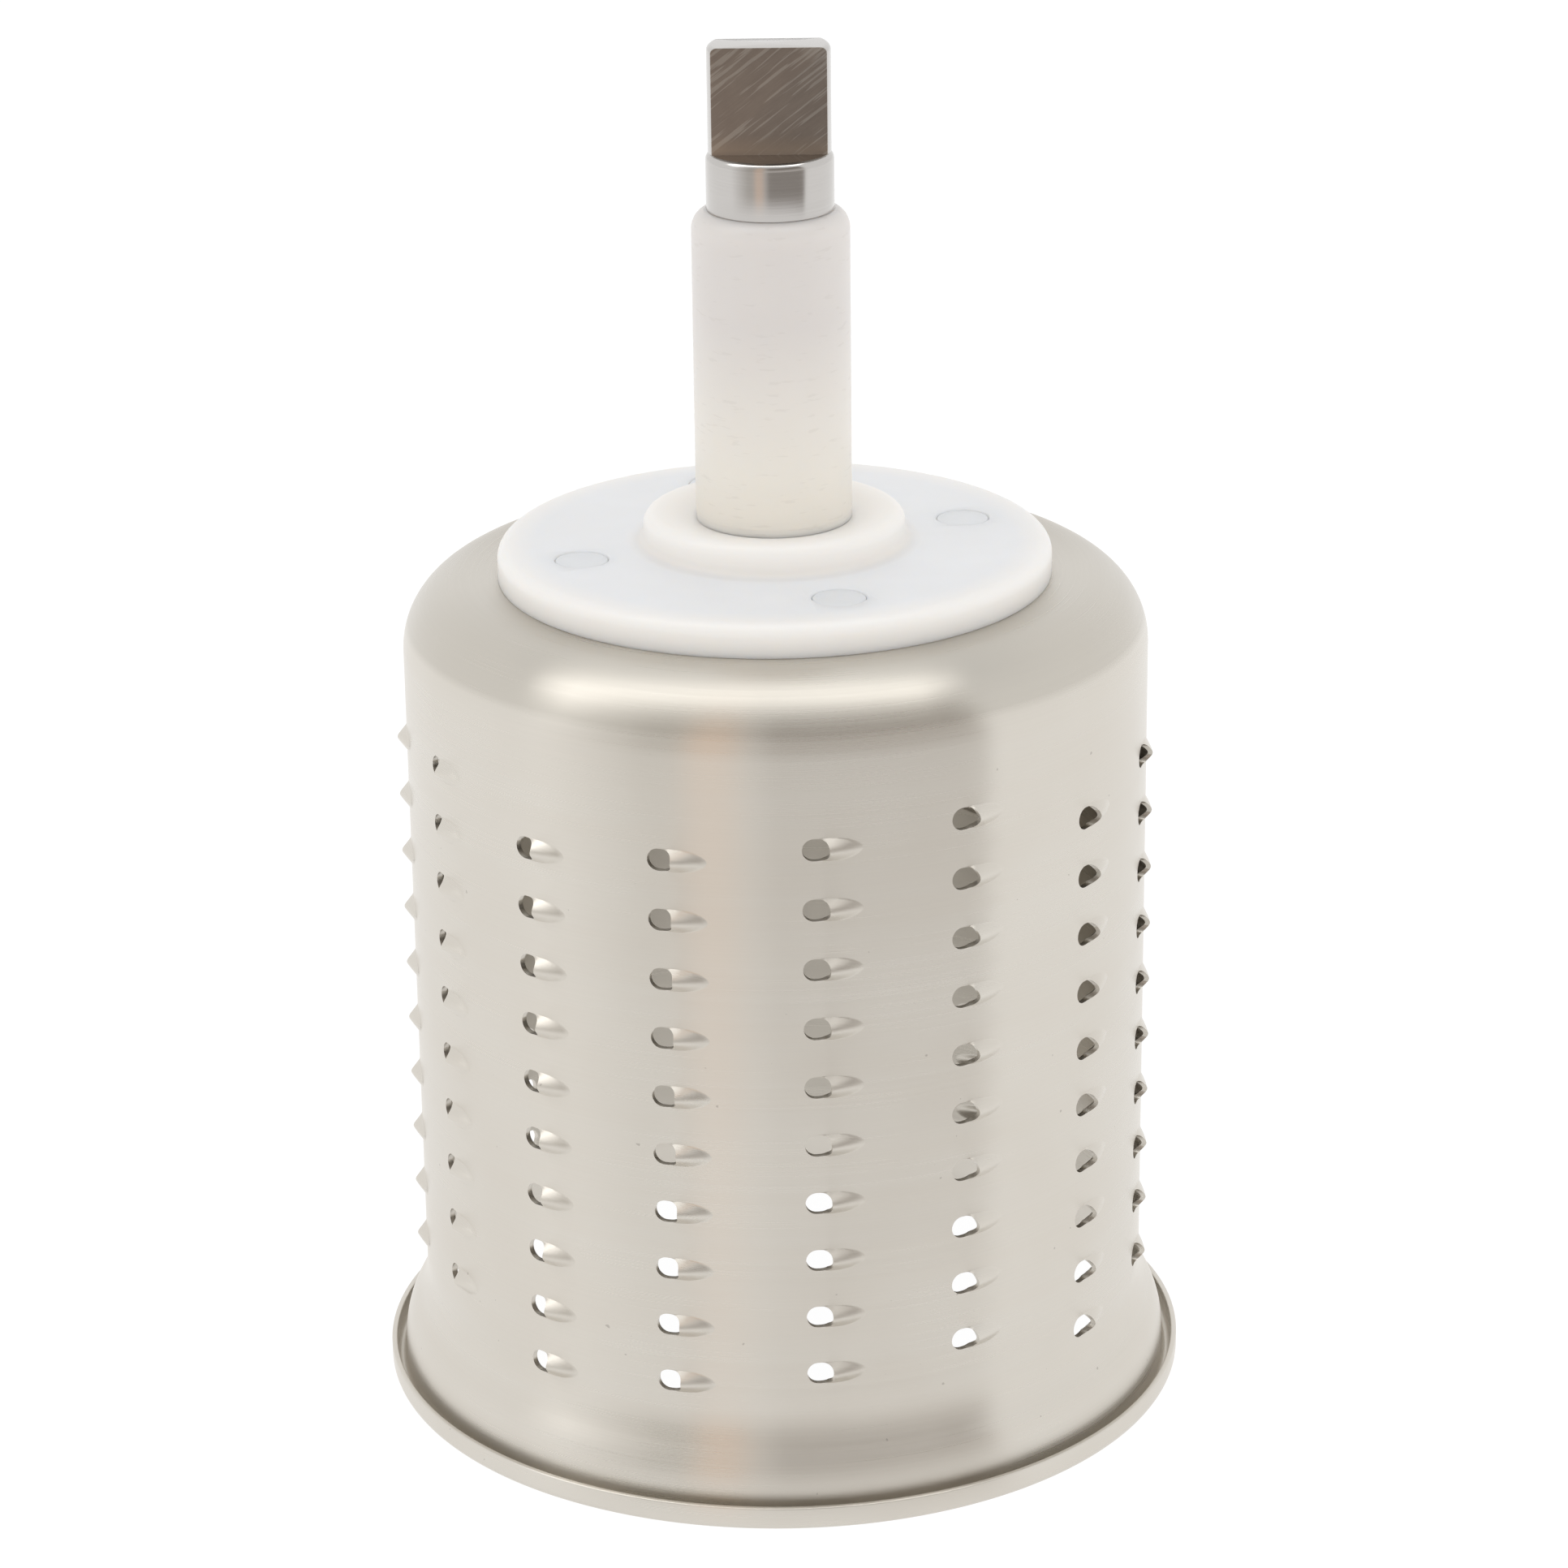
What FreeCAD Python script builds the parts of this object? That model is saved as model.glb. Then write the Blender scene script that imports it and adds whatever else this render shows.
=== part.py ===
import FreeCAD, Part
import math
import os
import Sketcher
from FreeCAD import Placement, Rotation, Vector

# Grating drum of a rotary cheese grater, in millimetres.
# The drum stands on its open rim: the origin is on the drum's axis at the bottom of the
# rim, and +Z runs along the axis to the driving tang. Angles are counted counter-clockwise
# from +X, seen from the tang.

doc = FreeCAD.newDocument("GratingDrum")

# ---------------------------------------------------------------- driving sizes

SIZES = [
    ("drum_radius", 39.4, "outside of the straight wall"),
    ("drum_height", 90.7, "rim bottom to the outside of the closed end"),
    ("sheet", 0.6, "thickness of the stainless sheet"),
    ("shoulder_radius", 7.4, "outside bend between wall and closed end"),
    ("flare_top", 12.0, "height where the wall starts to flare out"),
    ("flare_bottom", 3.0, "height where the flare is upright again"),
    ("flare_reach", 2.65, "how far the flare swings out from the wall"),
    ("rim_gap", 1.05, "channel between the flare and the upturned lip"),
    ("lip_height", 2.5, "rim bottom to the lip's edge"),
    ("tooth_rows", 10, "teeth in one column"),
    ("tooth_start", 13.22, "height of the lowest tooth of a group's first column"),
    ("tooth_rise", 1.45, "how much higher each next column of a group starts"),
    ("tooth_margin", 7.77, "topmost tooth of a group's last column to the shoulder"),
    ("column_angle", 22.85, "angle between the columns of one group"),
    ("columns_in_group", 4, "columns punched together"),
    ("group_angle_1", 51.0, "first column of each group of columns"),
    ("group_angle_2", 138.6, ""),
    ("group_angle_3", 229.5, ""),
    ("group_angle_4", 323.2, ""),
    ("tooth_hole_radius", 1.2, "round hole in front of each tooth"),
    ("tooth_mouth", 1.35, "middle of the hole to the cutting edge"),
    ("tooth_radius", 1.3, "outside of the tooth's half cone at its cutting edge"),
    ("tooth_wall", 0.38, "sheet thinned by the pressing at the cutting edge"),
    ("tooth_lift", 0.98, "cutting edge above the wall"),
    ("tooth_length", 3.6, "cutting edge to the point where the half cone fades out"),
    ("tooth_tip_radius", 0.12, "half cone at its far end"),
    ("disc_margin", 2.8, "flat of the closed end left round the hub flange"),
    ("disc_thickness", 3.5, "hub flange"),
    ("disc_edge_radius", 1.4, "rounded upper edge of the hub flange"),
    ("boss_reach", 5.6, "running surface to the outside of the raised ring"),
    ("boss_height", 3.3, "raised ring above the flange"),
    ("boss_crest_reach", 3.0, "running surface to where the ring's top starts to fall"),
    ("boss_dish", 0.8, "fall from the ring's top to the sleeve"),
    ("boss_edge_radius", 1.5, "rounded outer edge of the ring's top"),
    ("boss_foot_radius", 1.2, "fillet between ring and flange"),
    ("spigot_step", 1.0, "the sleeve's spigot is this much less in radius than the sleeve"),
    ("socket_floor", 1.5, "plastic left under the spigot"),
    ("sleeve_radius", 8.2, "running surface"),
    ("sleeve_length", 32.3, "ring's top to the sleeve's upper end"),
    ("sleeve_edge_radius", 2.1, "rounded upper edge of the sleeve"),
    ("relief_depth", 0.2, "the sleeve's foot is turned down by this, so that a bearing clears the ring"),
    ("relief_reach", 0.2, "turned-down foot above the ring's top"),
    ("sleeve_wall", 3.2, "running surface to the spindle's shank"),
    ("collar_radius", 6.62, "round steel above the sleeve"),
    ("collar_length", 6.0, "sleeve to the foot of the tang"),
    ("collar_bevel", 0.9, "height of the bevel at the collar's top"),
    ("tang_radius", 6.35, "rounded sides of the tang"),
    ("tang_thickness", 4.76, "across the tang's flats"),
    ("tang_length", 11.0, "length of the flats"),
    ("tang_edge_radius", 0.6, "rounded top corners of the tang"),
    ("key_depth", 1.2, "shank to each of the flats that drive the backing plate"),
    ("thread_step", 1.0, "the threaded tail is this much less in radius than the shank"),
    ("thread_reach", 1.2, "tail beyond the nut"),
    ("plate_margin", 5.0, "flat of the closed end left round the backing plate"),
    ("plate_thickness", 2.0, "backing plate"),
    ("washer_radius", 8.5, "washer under the nut"),
    ("washer_thickness", 1.6, "washer under the nut"),
    ("nut_width", 13.0, "across the nut's flats"),
    ("nut_height", 6.5, "nut"),
    ("nut_bevel", 0.9, "bevel on the nut's corners"),
    ("rivet_count", 4, "rivets through flange, end and plate"),
    ("rivet_inset", 8.1, "hub flange's edge to the rivets' circle"),
    ("rivet_angle", 18.0, "angle of the first rivet"),
    ("rivet_radius", 2.0, "rivet shank"),
    ("rivet_head_radius", 2.7, "rivet head sunk in the flange"),
    ("rivet_head_height", 0.8, "rivet head sunk in the flange"),
    ("rivet_tail_radius", 3.2, "head formed inside the drum"),
    ("rivet_tail_height", 1.3, "head formed inside the drum"),
    ("rivet_floor", 1.5, "plastic left under the rivet's head"),
    ("plug_thickness", 0.9, "plug over each rivet"),
    ("plug_sink", 0.1, "plug below the flange's face"),
    ("plug_gap", 0.1, "plug to its hole, all round"),
    ("fit", 0.05, "clearance of shafts and spigots that fit their holes"),
    ("hole_play", 0.2, "clearance of the holes punched in the sheet"),
]

sheet = doc.addObject("Spreadsheet::Sheet", "Sizes")
for row, (alias, number, note) in enumerate(SIZES, start=1):
    sheet.set(f"A{row}", alias)
    sheet.set(f"B{row}", str(number))
    sheet.set(f"C{row}", note)
    sheet.setAlias(f"B{row}", alias)
doc.recompute()


def size(alias):
    """One number of the sheet, for the shapes that are worked out in code."""
    return float(getattr(sheet, alias))


# Radii and heights that several pieces share, as expressions of the sheet's cells.
FLAT_RADIUS = "(Sizes.drum_radius - Sizes.shoulder_radius)"
DISC_RADIUS = f"({FLAT_RADIUS} - Sizes.disc_margin)"
PLATE_RADIUS = f"({FLAT_RADIUS} - Sizes.plate_margin)"
RIVET_CIRCLE = f"({DISC_RADIUS} - Sizes.rivet_inset)"
SPIGOT_RADIUS = "(Sizes.sleeve_radius - Sizes.spigot_step)"
SHANK_RADIUS = "(Sizes.sleeve_radius - Sizes.sleeve_wall)"
THREAD_RADIUS = f"({SHANK_RADIUS} - Sizes.thread_step)"
KEY_WIDTH = f"(2 * ({SHANK_RADIUS} - Sizes.key_depth))"
BOSS_RADIUS = "(Sizes.sleeve_radius + Sizes.boss_reach)"
CREST_RADIUS = "(Sizes.sleeve_radius + Sizes.boss_crest_reach)"
END_OUTSIDE = "Sizes.drum_height"
END_INSIDE = "(Sizes.drum_height - Sizes.sheet)"
PLATE_BOTTOM = f"({END_INSIDE} - Sizes.plate_thickness)"
WASHER_BOTTOM = f"({PLATE_BOTTOM} - Sizes.washer_thickness)"
NUT_BOTTOM = f"({WASHER_BOTTOM} - Sizes.nut_height)"
DISC_TOP = f"({END_OUTSIDE} + Sizes.disc_thickness)"
BOSS_TOP = f"({DISC_TOP} + Sizes.boss_height)"
SLEEVE_TOP = f"({BOSS_TOP} + Sizes.sleeve_length)"
SOCKET_TOP = f"({BOSS_TOP} - Sizes.boss_dish)"
SOCKET_BOTTOM = f"({END_OUTSIDE} + Sizes.socket_floor)"
TANG_FOOT = f"({SLEEVE_TOP} + Sizes.collar_length)"
TANG_TOP = f"({TANG_FOOT} + Sizes.tang_length)"
RIVET_SEAT = f"({END_OUTSIDE} + Sizes.rivet_floor)"
PLUG_TOP = f"({DISC_TOP} - Sizes.plug_sink)"
PLUG_HOLE_RADIUS = "(Sizes.rivet_head_radius + Sizes.plug_gap + Sizes.fit)"


def value(expression):
    """The number that an expression of the sheet's cells gives."""
    result = sheet.evalExpression(expression)
    return float(getattr(result, "Value", result))


# ---------------------------------------------------------------- helpers

def origin_feature(body, role):
    """One of the body's own origin planes or axes."""
    return next(f for f in body.Origin.OriginFeatures if f.Role == role)


def upright_sketch(body, name, plane="XZ_Plane"):
    """A sketch whose upward axis is the drum's axis."""
    sketch = body.newObject("Sketcher::SketchObject", name)
    sketch.AttachmentSupport = [(origin_feature(body, plane), "")]
    sketch.MapMode = "FlatFace"
    return sketch


def tie_point(sketch, edge, direction, expression):
    """Binds the start of an edge to the sheet, along one direction from the origin."""
    constraint = Sketcher.Constraint(direction, -1, 1, edge, 1, value(expression))
    number = sketch.addConstraint(constraint)
    sketch.setExpression(f"Constraints[{number}]", expression)


def driven_polygon(sketch, corners):
    """Joins the corners with straight lines and ties each corner to the sheet."""
    points = [Vector(value(across), value(up), 0) for across, up in corners]
    count = len(points)
    for i in range(count):
        sketch.addGeometry(Part.LineSegment(points[i], points[(i + 1) % count]))
    for i in range(count):
        sketch.addConstraint(Sketcher.Constraint("Coincident", i, 2, (i + 1) % count, 1))
    for i, (across, up) in enumerate(corners):
        if across == "0":
            sketch.addConstraint(Sketcher.Constraint("PointOnObject", i, 1, -2))
        else:
            tie_point(sketch, i, "DistanceX", across)
        tie_point(sketch, i, "DistanceY", up)


def turned_body(label, corners):
    """A body turned about the drum's axis from an outline of (radius, height) corners."""
    body = doc.addObject("PartDesign::Body", label)
    body.Label = label
    sketch = upright_sketch(body, f"{label}_outline")
    driven_polygon(sketch, corners)
    turned = body.newObject("PartDesign::Revolution", f"{label}_turned")
    turned.Profile = sketch
    turned.ReferenceAxis = (sketch, ["V_Axis"])
    turned.Angle = 360
    sketch.Visibility = False
    doc.recompute()
    return body


def round_edges(body, name, radius, height, rounding):
    """Rounds the body's edges of one radius at one height by a size of the sheet."""
    base = body.Tip
    edges = []
    for number, edge in enumerate(base.Shape.Edges, start=1):
        if not isinstance(edge.Curve, Part.Circle):
            continue
        if abs(edge.Curve.Radius - value(radius)) > 0.001:
            continue
        if abs(edge.Curve.Center.z - value(height)) < 0.001:
            edges.append(f"Edge{number}")
    fillet = body.newObject("PartDesign::Fillet", f"{body.Label}_{name}")
    fillet.Base = (base, edges)
    fillet.setExpression("Radius", rounding)
    doc.recompute()


def cut_flats(body, name, width, bottom, top, reach):
    """Cuts two opposite flats, square to Y, between two heights."""
    sketch = upright_sketch(body, f"{body.Label}_{name}_outline", "YZ_Plane")
    flat = f"{width} / 2"
    driven_polygon(sketch, [(flat, bottom), (reach, bottom), (reach, top), (flat, top)])
    pocket = body.newObject("PartDesign::Pocket", f"{body.Label}_{name}")
    pocket.Profile = sketch
    pocket.Type = "ThroughAll"
    pocket.Midplane = True
    sketch.Visibility = False
    doc.recompute()
    both = body.newObject("PartDesign::PolarPattern", f"{body.Label}_{name}_pair")
    both.Originals = [pocket]
    both.Axis = (origin_feature(body, "Z_Axis"), [""])
    both.Angle = 360
    both.Occurrences = 2
    body.Tip = both
    doc.recompute()


def cylinder(name, radius, bottom, top, across="0", along="0"):
    """An upright cylinder between two heights."""
    solid = doc.addObject("Part::Cylinder", name)
    solid.setExpression("Radius", radius)
    solid.setExpression("Height", f"{top} - {bottom}")
    solid.setExpression("Placement.Base.x", across)
    solid.setExpression("Placement.Base.y", along)
    solid.setExpression("Placement.Base.z", bottom)
    return solid


def combine(kind, name, first, second):
    """A boolean of two objects: Part::Cut or Part::Common."""
    result = doc.addObject(kind, name)
    result.Base = first
    result.Tool = second
    return result


def join(name, shapes):
    """One tool of several objects."""
    result = doc.addObject("Part::MultiFuse", name)
    result.Shapes = shapes
    return result


def rivet_place(number):
    """Where a rivet's axis stands, as expressions."""
    angle = f"(Sizes.rivet_angle + 360 * {number} / Sizes.rivet_count)"
    across = f"{RIVET_CIRCLE} * cos({angle} * 1deg)"
    along = f"{RIVET_CIRCLE} * sin({angle} * 1deg)"
    return across, along


RIVET_NUMBERS = range(int(size("rivet_count")))


# ---------------------------------------------------------------- drum shell

def arc(center, radius, start, end):
    """An arc in the outline's plane, its angles in degrees from the outward direction."""
    def at(degrees):
        turn = math.radians(degrees)
        return center + radius * Vector(math.cos(turn), 0, math.sin(turn))
    return Part.Arc(at(start), at((start + end) / 2), at(end)).toShape()


def line(start, end):
    return Part.LineSegment(start, end).toShape()


def sheet_outline():
    """The sheet's outer side in section: end, shoulder, wall, flare, channel and lip."""
    radius = size("drum_radius")
    height = size("drum_height")
    bend = size("shoulder_radius")
    flare_top = size("flare_top")
    flare_bottom = size("flare_bottom")
    flare_radius = radius + size("flare_reach")
    gap = size("rim_gap")
    hole = value(SHANK_RADIUS) + size("hole_play")
    # the flare is two equal arcs that meet in the middle, upright at both ends
    drop = flare_top - flare_bottom
    half_turn = math.atan((flare_radius - radius) / drop)
    sweep = math.degrees(2 * half_turn)
    flare_bend = drop / (2 * math.sin(2 * half_turn))
    channel_floor = size("sheet") + gap / 2
    lip = flare_radius + gap
    edges = [
        line(Vector(hole, 0, height), Vector(radius - bend, 0, height)),
        arc(Vector(radius - bend, 0, height - bend), bend, 90, 0),
        line(Vector(radius, 0, height - bend), Vector(radius, 0, flare_top)),
        arc(Vector(radius + flare_bend, 0, flare_top), flare_bend, 180, 180 + sweep),
        arc(Vector(flare_radius - flare_bend, 0, flare_bottom), flare_bend, sweep, 0),
        line(Vector(flare_radius, 0, flare_bottom), Vector(flare_radius, 0, channel_floor)),
        arc(Vector(flare_radius + gap / 2, 0, channel_floor), gap / 2, 180, 360),
        line(Vector(lip, 0, channel_floor), Vector(lip, 0, size("lip_height"))),
    ]
    return Part.Wire(edges)


def plain_shell():
    """The drawn cup before its teeth are pressed."""
    section = sheet_outline().makeOffset2D(-size("sheet"), join=0, fill=True, openResult=True)
    return section.revolve(Vector(0, 0, 0), Vector(0, 0, 1), 360)


def tooth_cone(radius, tip_radius, lead):
    """A cone along the wall from a cutting edge at +X, its tip fading into the wall."""
    wall = size("drum_radius")
    length = size("tooth_length")
    depth = size("tooth_radius") - size("tooth_lift")
    edge = Vector(wall - depth, 0, 0)
    turn = length / wall
    sunk = wall - size("tooth_tip_radius")
    tip = Vector(sunk * math.cos(turn), sunk * math.sin(turn), 0)
    along = (tip - edge).normalize()
    start = edge - along * lead
    return Part.makeCone(radius, tip_radius, (tip - start).Length, start, along)


def tooth_hole():
    """The punch that opens the wall in front of the cutting edge."""
    wall = size("drum_radius")
    radius = size("tooth_hole_radius")
    reach = 4 * size("sheet")
    start = Vector(wall - reach / 2, -size("tooth_mouth"), 0)
    return Part.makeCylinder(radius, reach, start, Vector(1, 0, 0))


def tooth_places():
    """Height and angle of every tooth's cutting edge."""
    mouth = math.degrees(size("tooth_mouth") / size("drum_radius"))
    last_rise = (size("columns_in_group") - 1) * size("tooth_rise")
    topmost = size("drum_height") - size("shoulder_radius") - size("tooth_margin")
    pitch = (topmost - last_rise - size("tooth_start")) / (size("tooth_rows") - 1)
    for group in (1, 2, 3, 4):
        for column in range(int(size("columns_in_group"))):
            angle = size(f"group_angle_{group}") + column * size("column_angle") + mouth
            first = size("tooth_start") + column * size("tooth_rise")
            for tooth in range(int(size("tooth_rows"))):
                yield first + tooth * pitch, angle


def at_every_tooth(solid):
    copies = []
    for height, angle in tooth_places():
        copy = solid.copy()
        place = Placement(Vector(0, 0, height), Rotation(Vector(0, 0, 1), angle))
        copy.Placement = place.multiply(copy.Placement)
        copies.append(copy)
    return copies


def rivet_punches():
    """The holes in the closed end, one for each rivet."""
    radius = size("rivet_radius") + size("hole_play")
    depth = 3 * size("sheet")
    for number in RIVET_NUMBERS:
        across, along = (value(part) for part in rivet_place(number))
        start = Vector(across, along, size("drum_height") - 2 * size("sheet"))
        yield Part.makeCylinder(radius, depth, start)


def toothed_shell():
    wall = size("tooth_wall")
    radius = size("tooth_radius")
    tip = size("tooth_tip_radius")
    bore = Part.makeCylinder(size("drum_radius") - size("sheet"), size("drum_height"))
    horn = tooth_cone(radius, tip, 0).cut(bore)
    hollow = tooth_cone(radius - wall, tip / 2, size("sheet"))
    shell = plain_shell().fuse(at_every_tooth(horn))
    punches = at_every_tooth(hollow) + at_every_tooth(tooth_hole()) + list(rivet_punches())
    return shell.cut(punches)


drum_shell = doc.addObject("Part::Feature", "drum_shell")
drum_shell.Label = "drum_shell"
drum_shell.Shape = toothed_shell()
drum_shell.Placement = Placement()

# ---------------------------------------------------------------- hub flange

SPIGOT_HOLE = f"({SPIGOT_RADIUS} + Sizes.fit)"
SHANK_HOLE = f"({SHANK_RADIUS} + Sizes.fit)"

hub_disc = turned_body("hub_disc", [
    (SHANK_HOLE, END_OUTSIDE),
    (DISC_RADIUS, END_OUTSIDE),
    (DISC_RADIUS, DISC_TOP),
    (BOSS_RADIUS, DISC_TOP),
    (BOSS_RADIUS, BOSS_TOP),
    (CREST_RADIUS, BOSS_TOP),
    ("Sizes.sleeve_radius", SOCKET_TOP),
    (SPIGOT_HOLE, SOCKET_TOP),
    (SPIGOT_HOLE, SOCKET_BOTTOM),
    (SHANK_HOLE, SOCKET_BOTTOM),
])
round_edges(hub_disc, "edge", DISC_RADIUS, DISC_TOP, "Sizes.disc_edge_radius")
round_edges(hub_disc, "foot", BOSS_RADIUS, DISC_TOP, "Sizes.boss_foot_radius")
round_edges(hub_disc, "rim", BOSS_RADIUS, BOSS_TOP, "Sizes.boss_edge_radius")
round_edges(hub_disc, "crest", CREST_RADIUS, BOSS_TOP, "Sizes.boss_edge_radius")

rivet_holes = []
for number in RIVET_NUMBERS:
    place = rivet_place(number)
    below = f"({END_OUTSIDE} - Sizes.sheet)"
    shank = "Sizes.rivet_radius + Sizes.fit"
    rivet_holes.append(cylinder(f"shank_hole_{number + 1}", shank, below, BOSS_TOP, *place))
    head = cylinder(f"head_hole_{number + 1}", PLUG_HOLE_RADIUS, RIVET_SEAT, BOSS_TOP, *place)
    rivet_holes.append(head)

hub_flange = combine("Part::Cut", "hub_flange", hub_disc, join("flange_holes", rivet_holes))

# ---------------------------------------------------------------- journal sleeve

RELIEF_RADIUS = "(Sizes.sleeve_radius - Sizes.relief_depth)"
RELIEF_TOP = f"({BOSS_TOP} + Sizes.relief_reach)"

journal_sleeve = turned_body("journal_sleeve", [
    (SHANK_HOLE, SOCKET_BOTTOM),
    (SPIGOT_RADIUS, SOCKET_BOTTOM),
    (SPIGOT_RADIUS, SOCKET_TOP),
    (RELIEF_RADIUS, SOCKET_TOP),
    (RELIEF_RADIUS, RELIEF_TOP),
    ("Sizes.sleeve_radius", RELIEF_TOP),
    ("Sizes.sleeve_radius", SLEEVE_TOP),
    (SHANK_HOLE, SLEEVE_TOP),
])
round_edges(
    journal_sleeve, "edge", "Sizes.sleeve_radius", SLEEVE_TOP, "Sizes.sleeve_edge_radius"
)

# ---------------------------------------------------------------- drive spindle

TAIL_BOTTOM = f"({NUT_BOTTOM} - Sizes.thread_reach)"

drive_spindle = turned_body("drive_spindle", [
    ("0", TAIL_BOTTOM),
    (THREAD_RADIUS, TAIL_BOTTOM),
    (THREAD_RADIUS, PLATE_BOTTOM),
    (SHANK_RADIUS, PLATE_BOTTOM),
    (SHANK_RADIUS, SLEEVE_TOP),
    ("Sizes.collar_radius", SLEEVE_TOP),
    ("Sizes.collar_radius", f"({TANG_FOOT} - Sizes.collar_bevel)"),
    ("Sizes.tang_radius", TANG_FOOT),
    ("Sizes.tang_radius", TANG_TOP),
    ("0", TANG_TOP),
])
round_edges(drive_spindle, "top", "Sizes.tang_radius", TANG_TOP, "Sizes.tang_edge_radius")
cut_flats(
    drive_spindle,
    "tang",
    "Sizes.tang_thickness",
    TANG_FOOT,
    f"({TANG_TOP} + Sizes.tang_edge_radius)",
    "(2 * Sizes.tang_radius)",
)
cut_flats(
    drive_spindle,
    "key",
    KEY_WIDTH,
    f"({PLATE_BOTTOM} - Sizes.fit)",
    END_INSIDE,
    f"(2 * {SHANK_RADIUS})",
)

# ---------------------------------------------------------------- backing plate

plate_blank = cylinder("plate_blank", PLATE_RADIUS, PLATE_BOTTOM, END_INSIDE)
PLATE_BELOW = f"({PLATE_BOTTOM} - Sizes.plate_thickness)"
PLATE_ABOVE = f"({END_INSIDE} + Sizes.plate_thickness)"
key_round = cylinder("key_round", SHANK_HOLE, PLATE_BELOW, PLATE_ABOVE)
key_slot = doc.addObject("Part::Box", "key_slot")
key_slot.setExpression("Length", f"4 * {SHANK_RADIUS}")
key_slot.setExpression("Width", f"{KEY_WIDTH} + 2 * Sizes.fit")
key_slot.setExpression("Height", f"{PLATE_ABOVE} - {PLATE_BELOW}")
key_slot.setExpression("Placement.Base.x", f"-2 * {SHANK_RADIUS}")
key_slot.setExpression("Placement.Base.y", f"-{KEY_WIDTH} / 2 - Sizes.fit")
key_slot.setExpression("Placement.Base.z", PLATE_BELOW)
plate_cuts = [combine("Part::Common", "key_hole", key_round, key_slot)]
for number in RIVET_NUMBERS:
    place = rivet_place(number)
    shank = "Sizes.rivet_radius + Sizes.fit"
    plate_cuts.append(
        cylinder(f"plate_hole_{number + 1}", shank, PLATE_BELOW, PLATE_ABOVE, *place)
    )
backing_plate = combine(
    "Part::Cut", "backing_plate", plate_blank, join("plate_openings", plate_cuts)
)

# ---------------------------------------------------------------- washer and nut

THREAD_HOLE = f"({THREAD_RADIUS} + Sizes.fit)"

washer = turned_body("spindle_washer", [
    (THREAD_HOLE, WASHER_BOTTOM),
    ("Sizes.washer_radius", WASHER_BOTTOM),
    ("Sizes.washer_radius", PLATE_BOTTOM),
    (THREAD_HOLE, PLATE_BOTTOM),
])

nut_hexagon = doc.addObject("Part::Prism", "nut_hexagon")
nut_hexagon.Polygon = 6
nut_hexagon.setExpression("Circumradius", "Sizes.nut_width / 2 / cos(30deg)")
nut_hexagon.setExpression("Height", "Sizes.nut_height")
nut_hexagon.setExpression("Placement.Base.z", NUT_BOTTOM)
NUT_CORNER = "(Sizes.nut_width / 2 / cos(30deg))"
nut_bevels = turned_body("nut_bevels", [
    (THREAD_HOLE, NUT_BOTTOM),
    (f"({NUT_CORNER} - Sizes.nut_bevel)", NUT_BOTTOM),
    (NUT_CORNER, f"({NUT_BOTTOM} + Sizes.nut_bevel / 2)"),
    (NUT_CORNER, f"({WASHER_BOTTOM} - Sizes.nut_bevel / 2)"),
    (f"({NUT_CORNER} - Sizes.nut_bevel)", WASHER_BOTTOM),
    (THREAD_HOLE, WASHER_BOTTOM),
])
spindle_nut = combine("Part::Common", "spindle_nut", nut_hexagon, nut_bevels)

# ---------------------------------------------------------------- rivets and plugs


def place_on_circle(body, number):
    across, along = rivet_place(number)
    body.setExpression("Placement.Base.x", across)
    body.setExpression("Placement.Base.y", along)


HEAD_TOP = f"({RIVET_SEAT} + Sizes.rivet_head_height)"
TAIL_HEAD_BOTTOM = f"({PLATE_BOTTOM} - Sizes.rivet_tail_height)"
TAIL_CROWN = "(Sizes.rivet_tail_radius - Sizes.rivet_tail_height / 2)"

rivets = []
plugs = []
for number in RIVET_NUMBERS:
    rivet = turned_body(f"rivet_{number + 1}", [
        ("0", TAIL_HEAD_BOTTOM),
        (TAIL_CROWN, TAIL_HEAD_BOTTOM),
        ("Sizes.rivet_tail_radius", f"({PLATE_BOTTOM} - Sizes.rivet_tail_height / 2)"),
        ("Sizes.rivet_tail_radius", PLATE_BOTTOM),
        ("Sizes.rivet_radius", PLATE_BOTTOM),
        ("Sizes.rivet_radius", RIVET_SEAT),
        ("Sizes.rivet_head_radius", RIVET_SEAT),
        ("Sizes.rivet_head_radius", HEAD_TOP),
        ("0", HEAD_TOP),
    ])
    place_on_circle(rivet, number)
    rivets.append(rivet)
    plug_radius = f"({PLUG_HOLE_RADIUS} - Sizes.plug_gap)"
    plug_bottom = f"({PLUG_TOP} - Sizes.plug_thickness)"
    plug = turned_body(f"hub_plug_{number + 1}", [
        ("0", plug_bottom),
        (plug_radius, plug_bottom),
        (plug_radius, PLUG_TOP),
        ("0", PLUG_TOP),
    ])
    place_on_circle(plug, number)
    plugs.append(plug)

# ---------------------------------------------------------------- check and export

pieces = [
    drum_shell, hub_flange, journal_sleeve, drive_spindle, backing_plate, washer, spindle_nut
]
pieces += rivets + plugs

doc.recompute()
for thing in doc.Objects:
    for state in ("Invalid", "Error"):
        if state in thing.State:
            raise RuntimeError(f"{thing.Label} is {state}: {thing.State}")
for piece in pieces:
    shape = piece.Shape
    if shape.isNull() or not shape.isValid() or len(shape.Solids) != 1:
        raise RuntimeError(f"{piece.Label} is not one valid solid")

os.makedirs("parts", exist_ok=True)
for piece in pieces:
    piece.Shape.exportStep(f"parts/{piece.Label}.step")
    print(piece.Label, round(piece.Shape.Volume, 1))
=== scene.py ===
import bpy
import math
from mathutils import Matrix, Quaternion, Vector


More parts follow.
